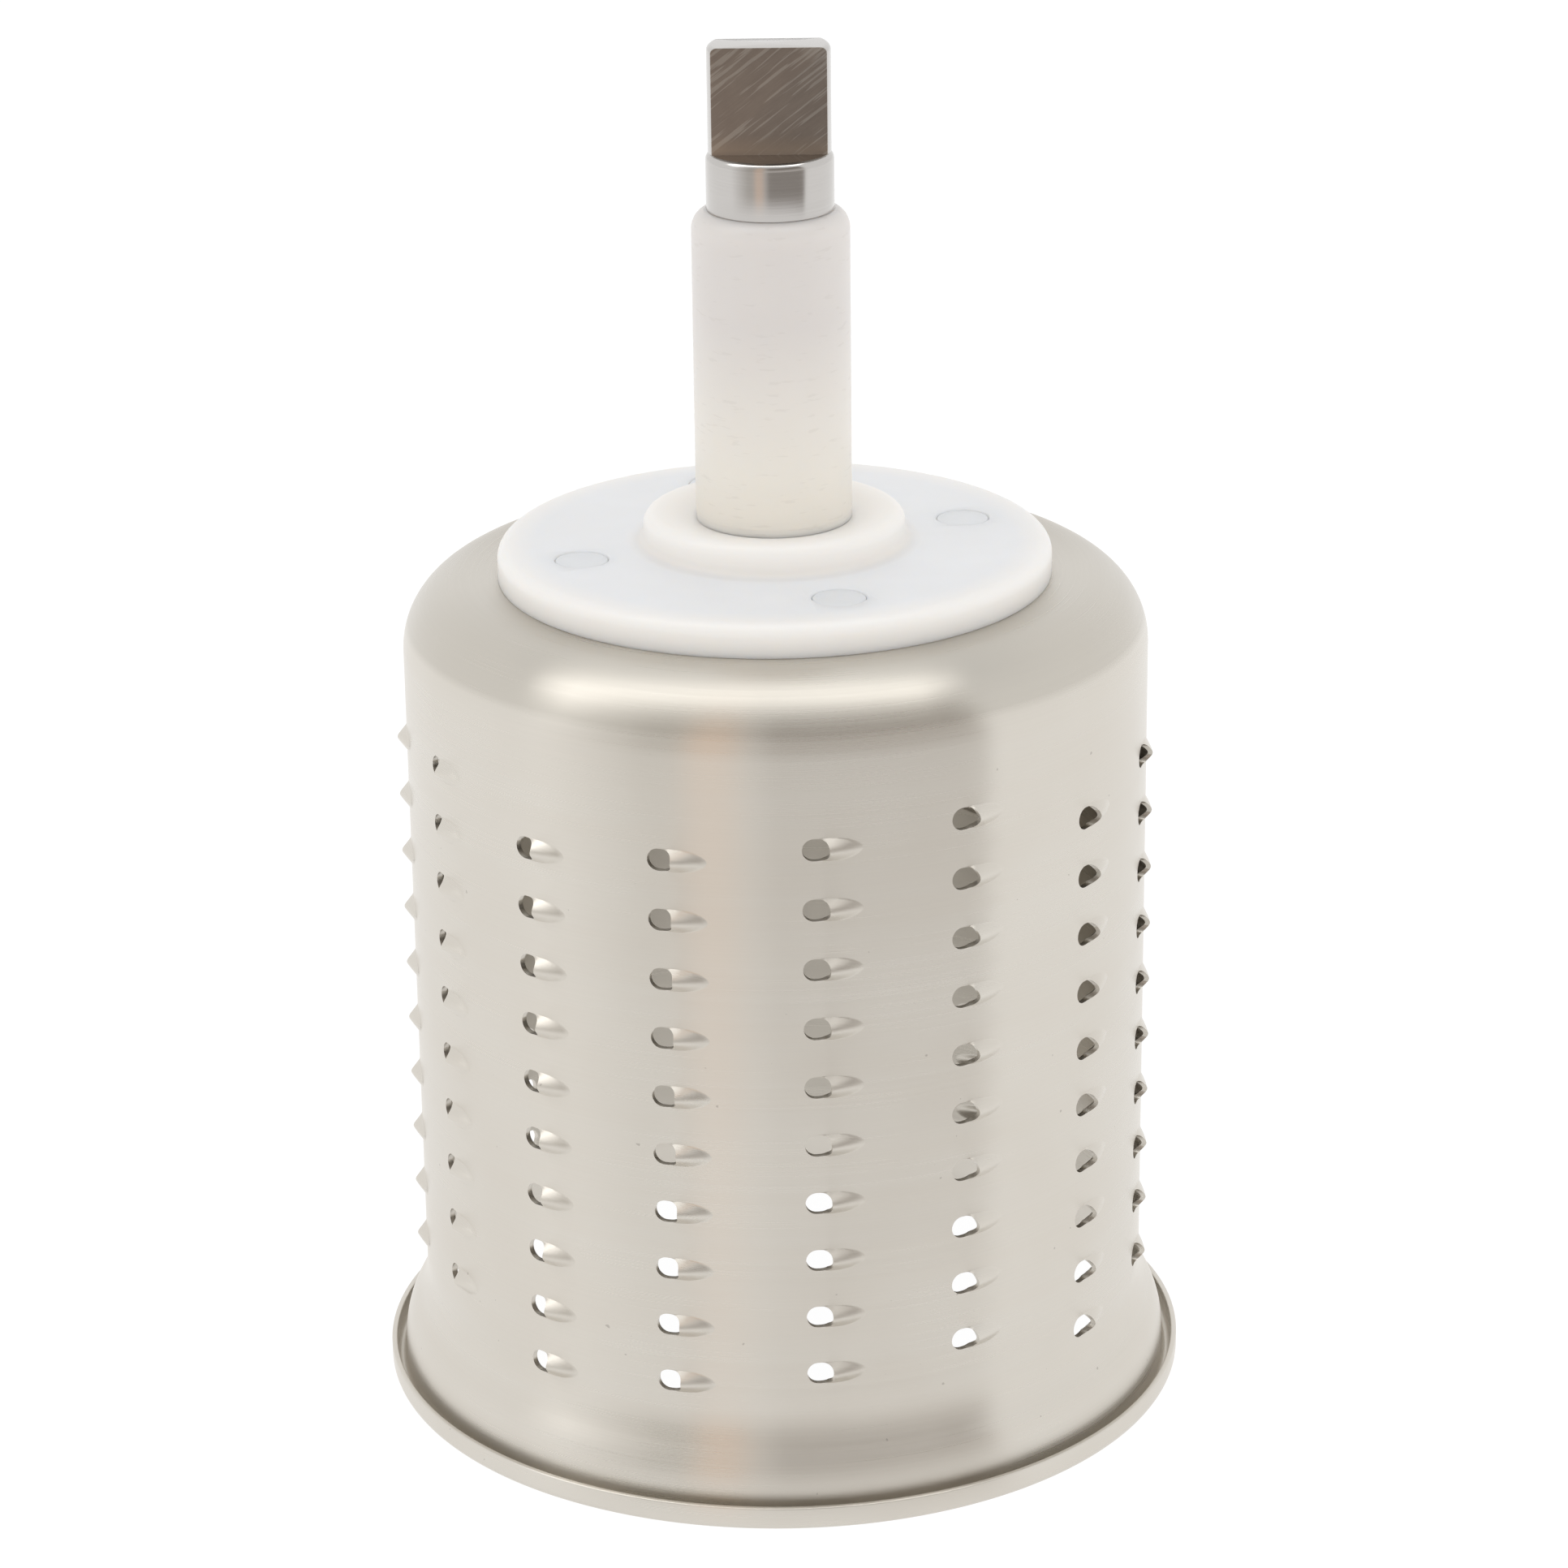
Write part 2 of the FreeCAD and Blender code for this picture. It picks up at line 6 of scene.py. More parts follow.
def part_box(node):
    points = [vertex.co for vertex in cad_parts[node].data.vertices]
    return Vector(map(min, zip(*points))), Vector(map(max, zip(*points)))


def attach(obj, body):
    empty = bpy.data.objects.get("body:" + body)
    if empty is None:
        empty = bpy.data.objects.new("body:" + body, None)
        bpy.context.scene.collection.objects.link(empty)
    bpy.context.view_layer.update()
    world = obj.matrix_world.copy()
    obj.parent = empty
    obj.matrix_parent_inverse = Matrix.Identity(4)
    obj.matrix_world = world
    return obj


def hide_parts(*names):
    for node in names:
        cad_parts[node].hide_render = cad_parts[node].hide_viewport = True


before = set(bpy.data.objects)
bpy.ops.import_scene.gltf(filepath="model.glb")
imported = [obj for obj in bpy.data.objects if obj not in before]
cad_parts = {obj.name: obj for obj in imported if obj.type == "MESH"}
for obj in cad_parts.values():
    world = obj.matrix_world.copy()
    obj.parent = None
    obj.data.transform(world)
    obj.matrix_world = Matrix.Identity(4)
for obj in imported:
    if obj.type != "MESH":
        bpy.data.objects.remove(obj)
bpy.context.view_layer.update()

mm = 0.001


class Wire:
    # one output of a shader tree, so that shader maths reads as plain expressions
    def __init__(self, tree, socket):
        self.tree = tree
        self.socket = socket

    def maths(self, operation, *inputs):
        return self.tree.node("ShaderNodeMath", {"operation": operation}, *inputs)

    def __add__(self, other):
        return self.maths("ADD", self, other)

    def __radd__(self, other):
        return self.maths("ADD", other, self)

    def __sub__(self, other):
        return self.maths("SUBTRACT", self, other)

    def __rsub__(self, other):
        return self.maths("SUBTRACT", other, self)

    def __mul__(self, other):
        return self.maths("MULTIPLY", self, other)

    def __rmul__(self, other):
        return self.maths("MULTIPLY", other, self)

    def __truediv__(self, other):
        return self.maths("DIVIDE", self, other)

    def __rtruediv__(self, other):
        return self.maths("DIVIDE", other, self)

    def __neg__(self):
        return self.maths("MULTIPLY", self, -1.0)

    def clamped(self):
        return self.maths("MINIMUM", self.maths("MAXIMUM", self, 0.0), 1.0)


class Tree:
    # a material's or a world's nodes
    def __init__(self, owner):
        owner.use_nodes = True
        self.nodes = owner.node_tree.nodes
        self.links = owner.node_tree.links
        self.nodes.clear()

    def node(self, kind, settings=None, *inputs, out=0, **named):
        made = self.nodes.new(kind)
        for key, value in (settings or {}).items():
            setattr(made, key, value)
        for place, value in list(enumerate(inputs)) + list(named.items()):
            if isinstance(place, str):
                place = place.replace("_", " ")
            self.feed(made.inputs[place], value)
        return Wire(self, made.outputs[out]) if made.outputs else None

    def feed(self, socket, value):
        if isinstance(value, Wire):
            self.links.new(value.socket, socket)
        else:
            socket.default_value = value

    def mix(self, share, first, second, blend="MIX"):
        settings = {"data_type": "RGBA", "blend_type": blend}
        made = self.node("ShaderNodeMix", settings, out=2)     # its output for colours
        sockets = made.socket.node.inputs
        self.feed(sockets[0], share)
        self.feed(sockets[6], first)
        self.feed(sockets[7], second)
        return made

    def split(self, vector):
        parts = self.node("ShaderNodeSeparateXYZ", None, vector).socket.node.outputs
        return [Wire(self, part) for part in parts]

    def vector(self, x, y, z):
        return self.node("ShaderNodeCombineXYZ", None, x, y, z)

    def noise(self, where, scale, detail, roughness):
        return self.node(
            "ShaderNodeTexNoise", None, Vector=where, Scale=scale, Detail=detail, Roughness=roughness,
        )

    def bump(self, height, strength, distance):
        return self.node(
            "ShaderNodeBump", None, Height=height, Strength=strength, Distance=distance,
        )


def newMaterial(name):
    material = bpy.data.materials.new(name)
    return material, Tree(material)


def finishSurface(tree, **sockets):
    # sockets are the Principled shader's own, with underscores for spaces
    shader = tree.node("ShaderNodeBsdfPrincipled", None, **sockets)
    tree.node("ShaderNodeOutputMaterial", None, shader)


def rgb(red, green, blue):
    # a colour as it is seen on a screen, turned into the light that the shader works with
    def linear(channel):
        channel /= 255.0
        return channel / 12.92 if channel <= 0.04045 else ((channel + 0.055) / 1.055) ** 2.4
    return (linear(red), linear(green), linear(blue), 1.0)


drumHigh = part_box("drum_shell")[1]
drum = {
    "wallRadius": 39.4 * mm,
    "top": drumHigh.z,             # outside of the closed end
    "sheet": 0.6 * mm,             # thickness of the steel
    "shoulder": 7.4 * mm,          # bend between wall and end
    "flareTop": 12.0 * mm,         # where the wall starts to swing out
    "flareBottom": 3.0 * mm,       # where it is upright again
    "flareRadius": 42.05 * mm,
    "rimRadius": drumHigh.x,       # outside of the upturned lip
    "lipHeight": 2.75 * mm,
    "lipEdge": 0.15 * mm,          # rounding of the lip's upper edges
    "endHole": 5.2 * mm,
    "endRings": (26.0 * mm, 18.0 * mm),    # rings of points on the flat of the closed end
}
teeth = {
    "rows": 10,
    "pitch": 6.44 * mm,
    "firstHeight": 13.22 * mm,
    "rise": 1.45 * mm,             # each next column of a group starts this much higher
    "groupAngles": (51.0, 138.6, 229.5, 323.2),
    "columnsInGroup": 4,
    "columnAngle": 22.85,
    "hole": 1.18 * mm,             # radius of the punched hole
    "mouth": 1.5 * mm,             # hole's middle to the cutting edge
    "lift": 1.0 * mm,              # cutting edge above the wall
    "halfWidth": 1.22 * mm,        # half the width of the raised part at its foot
    "foot": 0.6 * mm,              # hole's middle to where the raised part's foot begins
    "frontFoot": 0.15 * mm,        # flat ring in front of the hole
    "nose": 5.05 * mm,             # hole's middle to the end of the raised part
    "lipWall": 0.52 * mm,          # sheet stretched thin at the cutting edge
    "ridge": 0.40,                 # how round the ridge is, as a share of the half width
    "riseFrom": 0.3,               # where the sheet starts to rise, as a share of the mouth
    "riseOver": 0.5,               # and how far it takes to do so
    "fall": 0.85,                  # below 1 the back stays high for longer
    "blunt": 0.65,                 # outline at the nose: 0.5 is round and 1 is pointed
    "square": 0.67,                # below 1 makes the opening's corners squarer
    "footTaper": 1.3,              # above 1 makes the foot slimmer towards the nose
    "narrowing": 0.82,             # width of the hollow inside as a share of the outside
    "before": 3.2 * mm,            # how far the worked patch reaches on each side of the hole
    "behind": 5.7 * mm,
}
patchSteps = 12                    # steps along each side of a tooth's patch
bodyShares = (0.0, 0.13, 0.30, 0.48, 0.66, 0.84, 1.0)    # rings from the hole to the foot
skirtShares = (0.03, 0.35, 1.0)    # rings from there to the patch's edge
noseSteps = 14                     # steps from the nose to the top of the hole
gapSteps = 5                       # steps between two columns' patches
endRows = 2                        # rows of plain wall below and above the patches


def flareAt(height):
    # outside radius of the wall at a height, and the cosine of its slope
    drop = drum["flareTop"] - drum["flareBottom"]
    half = math.atan((drum["flareRadius"] - drum["wallRadius"]) / drop)
    bend = drop / (2 * math.sin(2 * half))
    below = drum["flareTop"] - height
    if below <= 0:
        return drum["wallRadius"], 1.0
    if below <= drop / 2:
        cosine = math.sqrt(1 - (below / bend) ** 2)
        return drum["wallRadius"] + bend * (1 - cosine), cosine
    above = max(height - drum["flareBottom"], 0.0)
    cosine = math.sqrt(1 - (above / bend) ** 2)
    return drum["flareRadius"] - bend * (1 - cosine), cosine


def sectionShape(across):
    # section of a tooth: straight flanks with a rounded ridge
    edge = teeth["ridge"]
    if abs(across) >= 1:
        return 0.0
    tall = math.sqrt(1 + edge * edge)
    return (tall - math.sqrt(across * across + edge * edge)) / (tall - edge)


def toothWidth(along):
    # half the width of a tooth's foot, bluntly pointed at the nose
    gone = (along - teeth["foot"]) / (teeth["nose"] - teeth["foot"])
    gone = min(max(gone, 0.0), 1.0)
    return teeth["halfWidth"] * (1 - gone ** 3) ** teeth["blunt"]


def toothHeight(along, up, lift, narrowing=1.0):
    # how far the sheet is raised, at a distance along the wall and upwards from the hole's middle
    mouth = teeth["mouth"]
    rising = (along - teeth["riseFrom"] * mouth) / (teeth["riseOver"] * mouth)
    rising = min(max(rising, 0.0), 1.0)
    gone = (along - mouth) / (teeth["nose"] - mouth)
    gone = min(max(gone, 0.0), 1.0)
    width = max(toothWidth(along) * narrowing, 1e-7)
    smooth = rising * rising * (3 - 2 * rising)
    return lift * smooth * (1 - gone) ** teeth["fall"] * sectionShape(up / width)


curveSteps = 200                   # short steps in which a curve's length is measured


def evenPoints(curve, count):
    # points at even distances along a curve from a share of 0 to one of 1
    fine = [Vector(curve(i / curveSteps)) for i in range(curveSteps + 1)]
    lengths = [0.0]
    for start, stop in zip(fine, fine[1:]):
        lengths.append(lengths[-1] + (stop - start).length)
    picked = []
    for i in range(count + 1):
        wanted = lengths[-1] * i / count
        place = min(range(len(fine)), key=lambda j: abs(lengths[j] - wanted))
        picked.append(fine[place])
    return picked


def mouthEdge(share):
    # the opening's edge from the cutting edge to the top: square-cornered beside the round hole
    turn = share * math.pi / 2
    along = teeth["mouth"] * max(math.cos(turn), 0.0) ** teeth["square"]
    return along, teeth["hole"] * math.sin(turn) ** teeth["square"]


def footEdge(share):
    # the tooth's foot from its nose to where it begins beside the hole
    turn = share * math.pi / 2
    length = teeth["nose"] - teeth["foot"]
    along = teeth["foot"] + length * max(math.cos(turn), 0.0) ** teeth["square"]
    return along, teeth["halfWidth"] * math.sin(turn) ** teeth["footTaper"]


def toothOutlines():
    # the hole's edge and the foot, both from the nose's direction upwards and all the way round
    half = 2 * patchSteps
    hole = evenPoints(mouthEdge, noseSteps)
    foot = evenPoints(footEdge, noseSteps)
    for i in range(1, half - noseSteps + 1):
        turn = math.pi / 2 * (1 + i / (half - noseSteps))
        away = Vector((math.cos(turn), math.sin(turn)))
        hole.append(teeth["hole"] * away)
        foot.append((teeth["hole"] + teeth["frontFoot"]) * away)
    for outline in (hole, foot):
        outline += [Vector((point.x, -point.y)) for point in outline[half - 1:0:-1]]
    return hole, foot


def columnAngles():
    # the direction of every column of holes, with its place in its group
    for groupAngle in teeth["groupAngles"]:
        for number in range(teeth["columnsInGroup"]):
            yield number, math.radians(groupAngle + number * teeth["columnAngle"])


class Skin:
    # both faces of the sheet: every point is made in pairs, outside and inside
    def __init__(self):
        self.points = []
        self.faces = []

    def pair(self, angle, outer, inner, height):
        for radius in (outer, inner):
            self.points.append((radius * math.cos(angle), radius * math.sin(angle), height))
        return len(self.points) - 2

    def quad(self, a, b, c, d):
        # corners counter-clockwise as seen from outside
        self.faces.append((a, b, c, d))
        self.faces.append((d + 1, c + 1, b + 1, a + 1))

    def edge(self, a, b):
        # closes the sheet's thickness between two neighbouring pairs
        self.faces.append((b, a, a + 1, b + 1))


def wallPair(skin, angle, height, lift=0.0, innerLift=0.0):
    radius, cosine = flareAt(height)
    return skin.pair(angle, radius + lift, radius - drum["sheet"] / cosine + innerLift, height)


def columnRows(number):
    # rows that a column of a group is moved up by, and what is left of its rise
    step = teeth["pitch"] / patchSteps
    rows = round(number * teeth["rise"] / step)
    return rows + endRows, number * teeth["rise"] - rows * step


def wallLines():
    # every upright line of the wall: its angle, its first and last patch row,
    # if a patch hides it, its column and its shift upwards
    columns = []
    for number, angle in columnAngles():
        start = angle - teeth["before"] / drum["wallRadius"]
        stop = angle + teeth["behind"] / drum["wallRadius"]
        columns.append((number, angle, start, stop))
    lines = []
    for place, (number, angle, start, stop) in enumerate(columns):
        nextNumber, _, following, _ = columns[(place + 1) % len(columns)]
        if following < stop:
            following += 2 * math.pi
        first, shift = columnRows(number)
        last = first + teeth["rows"] * patchSteps
        for i in range(patchSteps + 1):
            hollow = 0 < i < patchSteps
            turn = start + (stop - start) * i / patchSteps
            lines.append((turn, first, last, hollow, place, shift))
        nextShift = columnRows(nextNumber)[1]
        for i in range(1, gapSteps):
            share = i / gapSteps
            between = shift + (nextShift - shift) * share
            lines.append((stop + (following - stop) * share, 0, 0, False, None, between))
    return columns, lines


def wallGrid(skin, lines):
    # a grid of points that leaves out the insides of the patches
    step = teeth["pitch"] / patchSteps
    bottom = teeth["firstHeight"] - teeth["pitch"] / 2 - endRows * step
    rows = teeth["rows"] * patchSteps + columnRows(teeth["columnsInGroup"] - 1)[0] + endRows
    grid = {}
    for line, (angle, first, last, hollow, place, shift) in enumerate(lines):
        for row in range(rows + 1):
            inPatch = hollow and first < row < last and (row - first) % patchSteps
            if not inPatch:
                share = min(1.0, row / endRows, (rows - row) / endRows)
                grid[line, row] = wallPair(skin, angle, bottom + row * step + shift * share)
    return rows, grid


def joinGrid(skin, lines, rows, grid):
    # plain faces, wherever all four corners stand and no patch covers them
    for line, (angle, first, last, hollow, place, shift) in enumerate(lines):
        beside = (line + 1) % len(lines)
        patched = place is not None and lines[beside][4] == place
        for row in range(rows):
            if patched and first <= row < last:
                continue
            corners = [(line, row), (beside, row), (beside, row + 1), (line, row + 1)]
            skin.quad(*[grid[corner] for corner in corners])


def patchOutline(line, row):
    # the patch's edge, from the middle of its right side upwards and round
    half = patchSteps // 2
    right, top = line + patchSteps, row + patchSteps
    outline = [(right, r) for r in range(row + half, top)]
    outline += [(l, top) for l in range(right, line, -1)]
    outline += [(line, r) for r in range(top, row, -1)]
    outline += [(l, row) for l in range(line, right)]
    outline += [(right, r) for r in range(row, row + half)]
    return outline


def pressTooth(skin, grid, outline, angle, middle, hole, foot):
    # rings of points from the opening over the raised part to the patch's edge
    radius = drum["wallRadius"]
    innerRise = teeth["lift"] + drum["sheet"] - teeth["lipWall"]
    far = []
    for corner in outline:
        x, y, z = skin.points[grid[corner]]
        outwards = (math.atan2(y, x) - angle + math.pi) % (2 * math.pi) - math.pi
        far.append(Vector((outwards * radius, z - middle)))
    places = [[a.lerp(b, share) for a, b in zip(hole, foot)] for share in bodyShares]
    places += [[a.lerp(b, share) for a, b in zip(foot, far)] for share in skirtShares[:-1]]
    rings = []
    for number, ring in enumerate(places):
        pairs = []
        for along, up in ring:
            lift = inside = 0.0
            if number < len(bodyShares):
                lift = toothHeight(along, up, teeth["lift"])
                inside = toothHeight(along, up, innerRise, teeth["narrowing"])
            pairs.append(wallPair(skin, angle + along / radius, middle + up, lift, inside))
        rings.append(pairs)
    rings.append([grid[corner] for corner in outline])
    count = len(outline)
    for inner, outer in zip(rings, rings[1:]):
        for i in range(count):
            j = (i + 1) % count
            skin.quad(inner[i], outer[i], outer[j], inner[j])
    for i in range(count):
        skin.edge(rings[0][i], rings[0][(i + 1) % count])


def arcPoints(center, radius, start, stop, steps):
    # points of an arc in the (radius, height) section, without its first one
    for i in range(1, steps + 1):
        turn = math.radians(start + (stop - start) * i / steps)
        yield center[0] + radius * math.cos(turn), center[1] + radius * math.sin(turn)


def rimSection(bottom):
    # from the wall's outside, down the flare, round the channel and lip, and back up inside
    sheet = drum["sheet"]
    lipInside = drum["rimRadius"] - sheet
    gap = (lipInside - drum["flareRadius"]) / 2
    middle = (drum["flareRadius"] + gap, sheet + gap)
    soft = drum["lipEdge"]
    section = []
    steps = 10
    for i in range(1, steps + 1):
        height = bottom + (drum["flareBottom"] - bottom) * i / steps
        section.append((flareAt(height)[0], height))
    section.append((drum["flareRadius"], (drum["flareBottom"] + middle[1]) / 2))
    section.append((drum["flareRadius"], middle[1]))
    section += arcPoints(middle, gap, 180, 360, 8)
    section.append((lipInside, drum["lipHeight"] - soft))
    section += arcPoints((lipInside + soft, drum["lipHeight"] - soft), soft, 180, 90, 3)
    section.append((drum["rimRadius"] - soft, drum["lipHeight"]))
    section += arcPoints((drum["rimRadius"] - soft, drum["lipHeight"] - soft), soft, 90, 0, 3)
    section.append((drum["rimRadius"], middle[1]))
    section += arcPoints(middle, gap + sheet, 0, -180, 14)
    section.append((drum["flareRadius"] - sheet, (drum["flareBottom"] + middle[1]) / 2))
    for i in range(steps):
        height = drum["flareBottom"] + (bottom - drum["flareBottom"]) * i / steps
        radius, cosine = flareAt(height)
        section.append((radius - sheet / cosine, height))
    return section


def endSection():
    # from the wall's outside, over the shoulder, across the closed end and back inside
    sheet, bend, top = drum["sheet"], drum["shoulder"], drum["top"]
    middle = (drum["wallRadius"] - bend, top - bend)
    section = [(drum["wallRadius"], middle[1])]
    section += arcPoints(middle, bend, 0, 90, 16)
    rings = [*drum["endRings"], drum["endHole"]]
    section += [(radius, top) for radius in rings]
    section += [(radius, top - sheet) for radius in reversed(rings)]
    section += [(middle[0], top - sheet)]
    section += arcPoints(middle, bend - sheet, 90, 0, 16)
    return section


def turnSection(points, faces, angles, section, outsideRow, insideRow):
    # a surface of revolution that starts at the wall's outer points and ends at its inner ones
    rows = [outsideRow]
    for radius, height in section:
        row = []
        for angle in angles:
            points.append((radius * math.cos(angle), radius * math.sin(angle), height))
            row.append(len(points) - 1)
        rows.append(row)
    rows.append(insideRow)
    for lower, upper in zip(rows, rows[1:]):
        for i in range(len(angles)):
            j = (i + 1) % len(angles)
            faces.append((lower[i], lower[j], upper[j], upper[i]))


sharp = {
    "drawn": 40.0,                 # degrees above which an edge is shaded sharp
    "cut": 35.0,                   # the same after cutting
    "bevelled": 50.0,              # degrees above which a cut edge is broken
}


def makeMesh(name, points, faces):
    mesh = bpy.data.meshes.new(name)
    mesh.from_pydata(points, [], faces)
    mesh.validate()
    mesh.update()
    mesh.polygons.foreach_set("use_smooth", [True] * len(mesh.polygons))
    mesh.set_sharp_from_angle(angle=math.radians(sharp["drawn"]))
    return mesh


def addPiece(name, mesh, material, slotName, *nodes):
    piece = bpy.data.objects.new(name, mesh)
    bpy.context.scene.collection.objects.link(piece)
    mesh.materials.clear()
    mesh.materials.append(material)
    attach(piece, "root")
    if nodes:
        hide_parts(*nodes)
    return piece


def makeDrumMesh():
    skin = Skin()
    columns, lines = wallLines()
    rows, grid = wallGrid(skin, lines)
    joinGrid(skin, lines, rows, grid)
    hole, foot = toothOutlines()
    for place, (number, angle, start, stop) in enumerate(columns):
        for tooth in range(teeth["rows"]):
            row = columnRows(number)[0] + tooth * patchSteps
            outline = patchOutline(place * (patchSteps + gapSteps), row)
            middle = teeth["firstHeight"] + number * teeth["rise"] + tooth * teeth["pitch"]
            pressTooth(skin, grid, outline, angle, middle, hole, foot)
    angles = [line[0] for line in lines]
    below = [grid[line, 0] for line in range(len(lines))]
    above = [grid[line, rows] for line in range(len(lines))]
    bottom = skin.points[below[0]][2]
    rim = []
    turnSection(skin.points, rim, angles, rimSection(bottom)[:-1], below, [p + 1 for p in below])
    skin.faces += [face[::-1] for face in rim]
    turnSection(skin.points, skin.faces, angles, endSection(), above, [p + 1 for p in above])
    return makeMesh("drum", skin.points, skin.faces)


drumMesh = makeDrumMesh()
print("drum mesh:", len(drumMesh.polygons), "faces")


def latheMesh(name, section, steps, closed=True):
    # turns a (radius, height) outline, drawn counter-clockwise, about the axis
    points, faces, rows = [], [], []
    for radius, height in section:
        if radius < 1e-7:
            points.append((0.0, 0.0, height))
            rows.append([len(points) - 1] * steps)
            continue
        row = []
        for i in range(steps):
            turn = 2 * math.pi * i / steps
            points.append((radius * math.cos(turn), radius * math.sin(turn), height))
            row.append(len(points) - 1)
        rows.append(row)
    pairs = list(zip(rows, rows[1:]))
    if closed:
        pairs.append((rows[-1], rows[0]))
    for lower, upper in pairs:
        for i in range(steps):
            j = (i + 1) % steps
            corners = [lower[i], lower[j], upper[j], upper[i]]
            kept = [c for k, c in enumerate(corners) if c not in corners[:k]]
            if len(kept) > 2:
                faces.append(kept)
    return makeMesh(name, points, faces)


def cutMesh(mesh, tools, bevel=0.0):
    # takes the tools out of a mesh, then breaks the sharp edges
    whole = bpy.data.objects.new("whole", mesh)
    bpy.context.scene.collection.objects.link(whole)
    helpers = []
    for tool in tools:
        helper = bpy.data.objects.new("tool", tool)
        bpy.context.scene.collection.objects.link(helper)
        helpers.append(helper)
        cut = whole.modifiers.new("cut", "BOOLEAN")
        cut.operation = "DIFFERENCE"
        cut.solver = "EXACT"
        cut.object = helper
    if bevel:
        soften = whole.modifiers.new("soften", "BEVEL")
        soften.width = bevel
        soften.segments = 3
        soften.limit_method = "ANGLE"
        soften.angle_limit = math.radians(sharp["bevelled"])
        soften.harden_normals = False
    graph = bpy.context.evaluated_depsgraph_get()
    result = bpy.data.meshes.new_from_object(whole.evaluated_get(graph))
    for thing in [whole, *helpers]:
        bpy.data.objects.remove(thing)
    result.polygons.foreach_set("use_smooth", [True] * len(result.polygons))
    result.set_sharp_from_angle(angle=math.radians(sharp["cut"]))
    result.name = mesh.name
    return result


def boxMesh(name, low, high):
    sides = list(zip(low, high))
    points = [(x, y, z) for z in sides[2] for y in sides[1] for x in sides[0]]
    faces = [(0, 2, 3, 1), (4, 5, 7, 6), (0, 1, 5, 4), (2, 6, 7, 3), (0, 4, 6, 2), (1, 3, 7, 5)]
    mesh = bpy.data.meshes.new(name)
    mesh.from_pydata(points, [], faces)
    return mesh


hubLow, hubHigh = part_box("hub_flange")
hub = {
    "radius": hubHigh.x,
    "bottom": hubLow.z,
    "thickness": 3.5 * mm,
    "edge": 1.4 * mm,              # rounded upper edge
    "lowerEdge": 0.12 * mm,
    "ringRadius": 13.8 * mm,
    "ringTop": hubHigh.z,
    "ringEdge": 1.5 * mm,          # rounded top of the ring
    "ringFoot": 1.2 * mm,          # fillet to the disc
    "crest": 11.2 * mm,            # where the ring's top starts to fall
    "crestFall": ((0.5, 0.0), (-0.3, 0.06), (-1.2, 0.3)),     # mm outwards from the crest, mm down
    "dish": 0.8 * mm,
    "seat": 8.2 * mm,              # flat ring that the sleeve's foot stands on
    "socket": 7.25 * mm,
    "socketFloor": 1.5 * mm,
    "bore": 5.05 * mm,
    "plugCircle": 21.1 * mm,
    "plugAngle": 18.0,
    "plugHole": 2.85 * mm,
    "plugDepth": 2.0 * mm,
    "plugHoleEdge": 0.15 * mm,
}


def hubSection():
    top = hub["bottom"] + hub["thickness"]
    radius, edge, lower, foot = hub["radius"], hub["edge"], hub["lowerEdge"], hub["ringFoot"]
    ring, ringEdge, ringTop = hub["ringRadius"], hub["ringEdge"], hub["ringTop"]
    section = [(hub["bore"], hub["bottom"]), (radius - lower, hub["bottom"])]
    section += arcPoints((radius - lower, hub["bottom"] + lower), lower, -90, 0, 4)
    section.append((radius, top - edge))
    section += arcPoints((radius - edge, top - edge), edge, 0, 90, 8)
    section += [(radius - 2.5 * edge, top), (ring + 2 * foot, top), (ring + foot, top)]
    section += arcPoints((ring + foot, top + foot), foot, -90, -180, 6)
    section += arcPoints((ring - ringEdge, ringTop - ringEdge), ringEdge, 0, 90, 8)
    for outwards, down in hub["crestFall"]:
        section.append((hub["crest"] + outwards * mm, ringTop - down * mm))
    section += [(hub["seat"], ringTop - hub["dish"]), (hub["socket"], ringTop - hub["dish"])]
    section += [(hub["socket"], hub["bottom"] + hub["socketFloor"])]
    section += [(hub["bore"], hub["bottom"] + hub["socketFloor"])]
    return section


def plugPlaces():
    for number in range(4):
        turn = math.radians(hub["plugAngle"] + 90 * number)
        yield number, hub["plugCircle"] * Vector((math.cos(turn), math.sin(turn), 0))


def moved(mesh, place):
    for vertex in mesh.vertices:
        vertex.co += place
    return mesh


def makeHub():
    top = hub["bottom"] + hub["thickness"]
    hole, soft = hub["plugHole"], hub["plugHoleEdge"]
    floor, over = top - hub["plugDepth"], top + 1 * mm
    tools = []
    for number, place in plugPlaces():
        section = [(0, floor), (hole, floor), (hole, top - soft)]
        section += [(hole + soft * 0.35, top - soft * 0.35), (hole + soft, top)]
        section += [(hole + soft, over), (0, over)]
        tools.append(moved(latheMesh("plugTool", section, 64, False), place))
    return cutMesh(latheMesh("hub", hubSection(), 256), tools)


plug = {
    "radius": 2.75 * mm,
    "edge": 0.18 * mm,
    "sink": 0.1 * mm,              # below the flange's face
    "thickness": 0.9 * mm,
    "dimple": 0.06 * mm,           # its middle sinks a little
}


def makePlugs(material):
    top = hub["bottom"] + hub["thickness"] - plug["sink"]
    radius, edge, foot = plug["radius"], plug["edge"], top - plug["thickness"]
    for number, place in plugPlaces():
        section = [(0, foot), (radius, foot), (radius, top - edge)]
        section += arcPoints((radius - edge, top - edge), edge, 0, 90, 4)
        section += [(radius * 0.6, top - plug["dimple"] * 0.7), (0, top - plug["dimple"])]
        mesh = moved(latheMesh(f"plug{number + 1}", section, 64, False), place)
        addPiece(f"plug{number + 1}", mesh, material, "plug_plastic", f"hub_plug_{number + 1}")


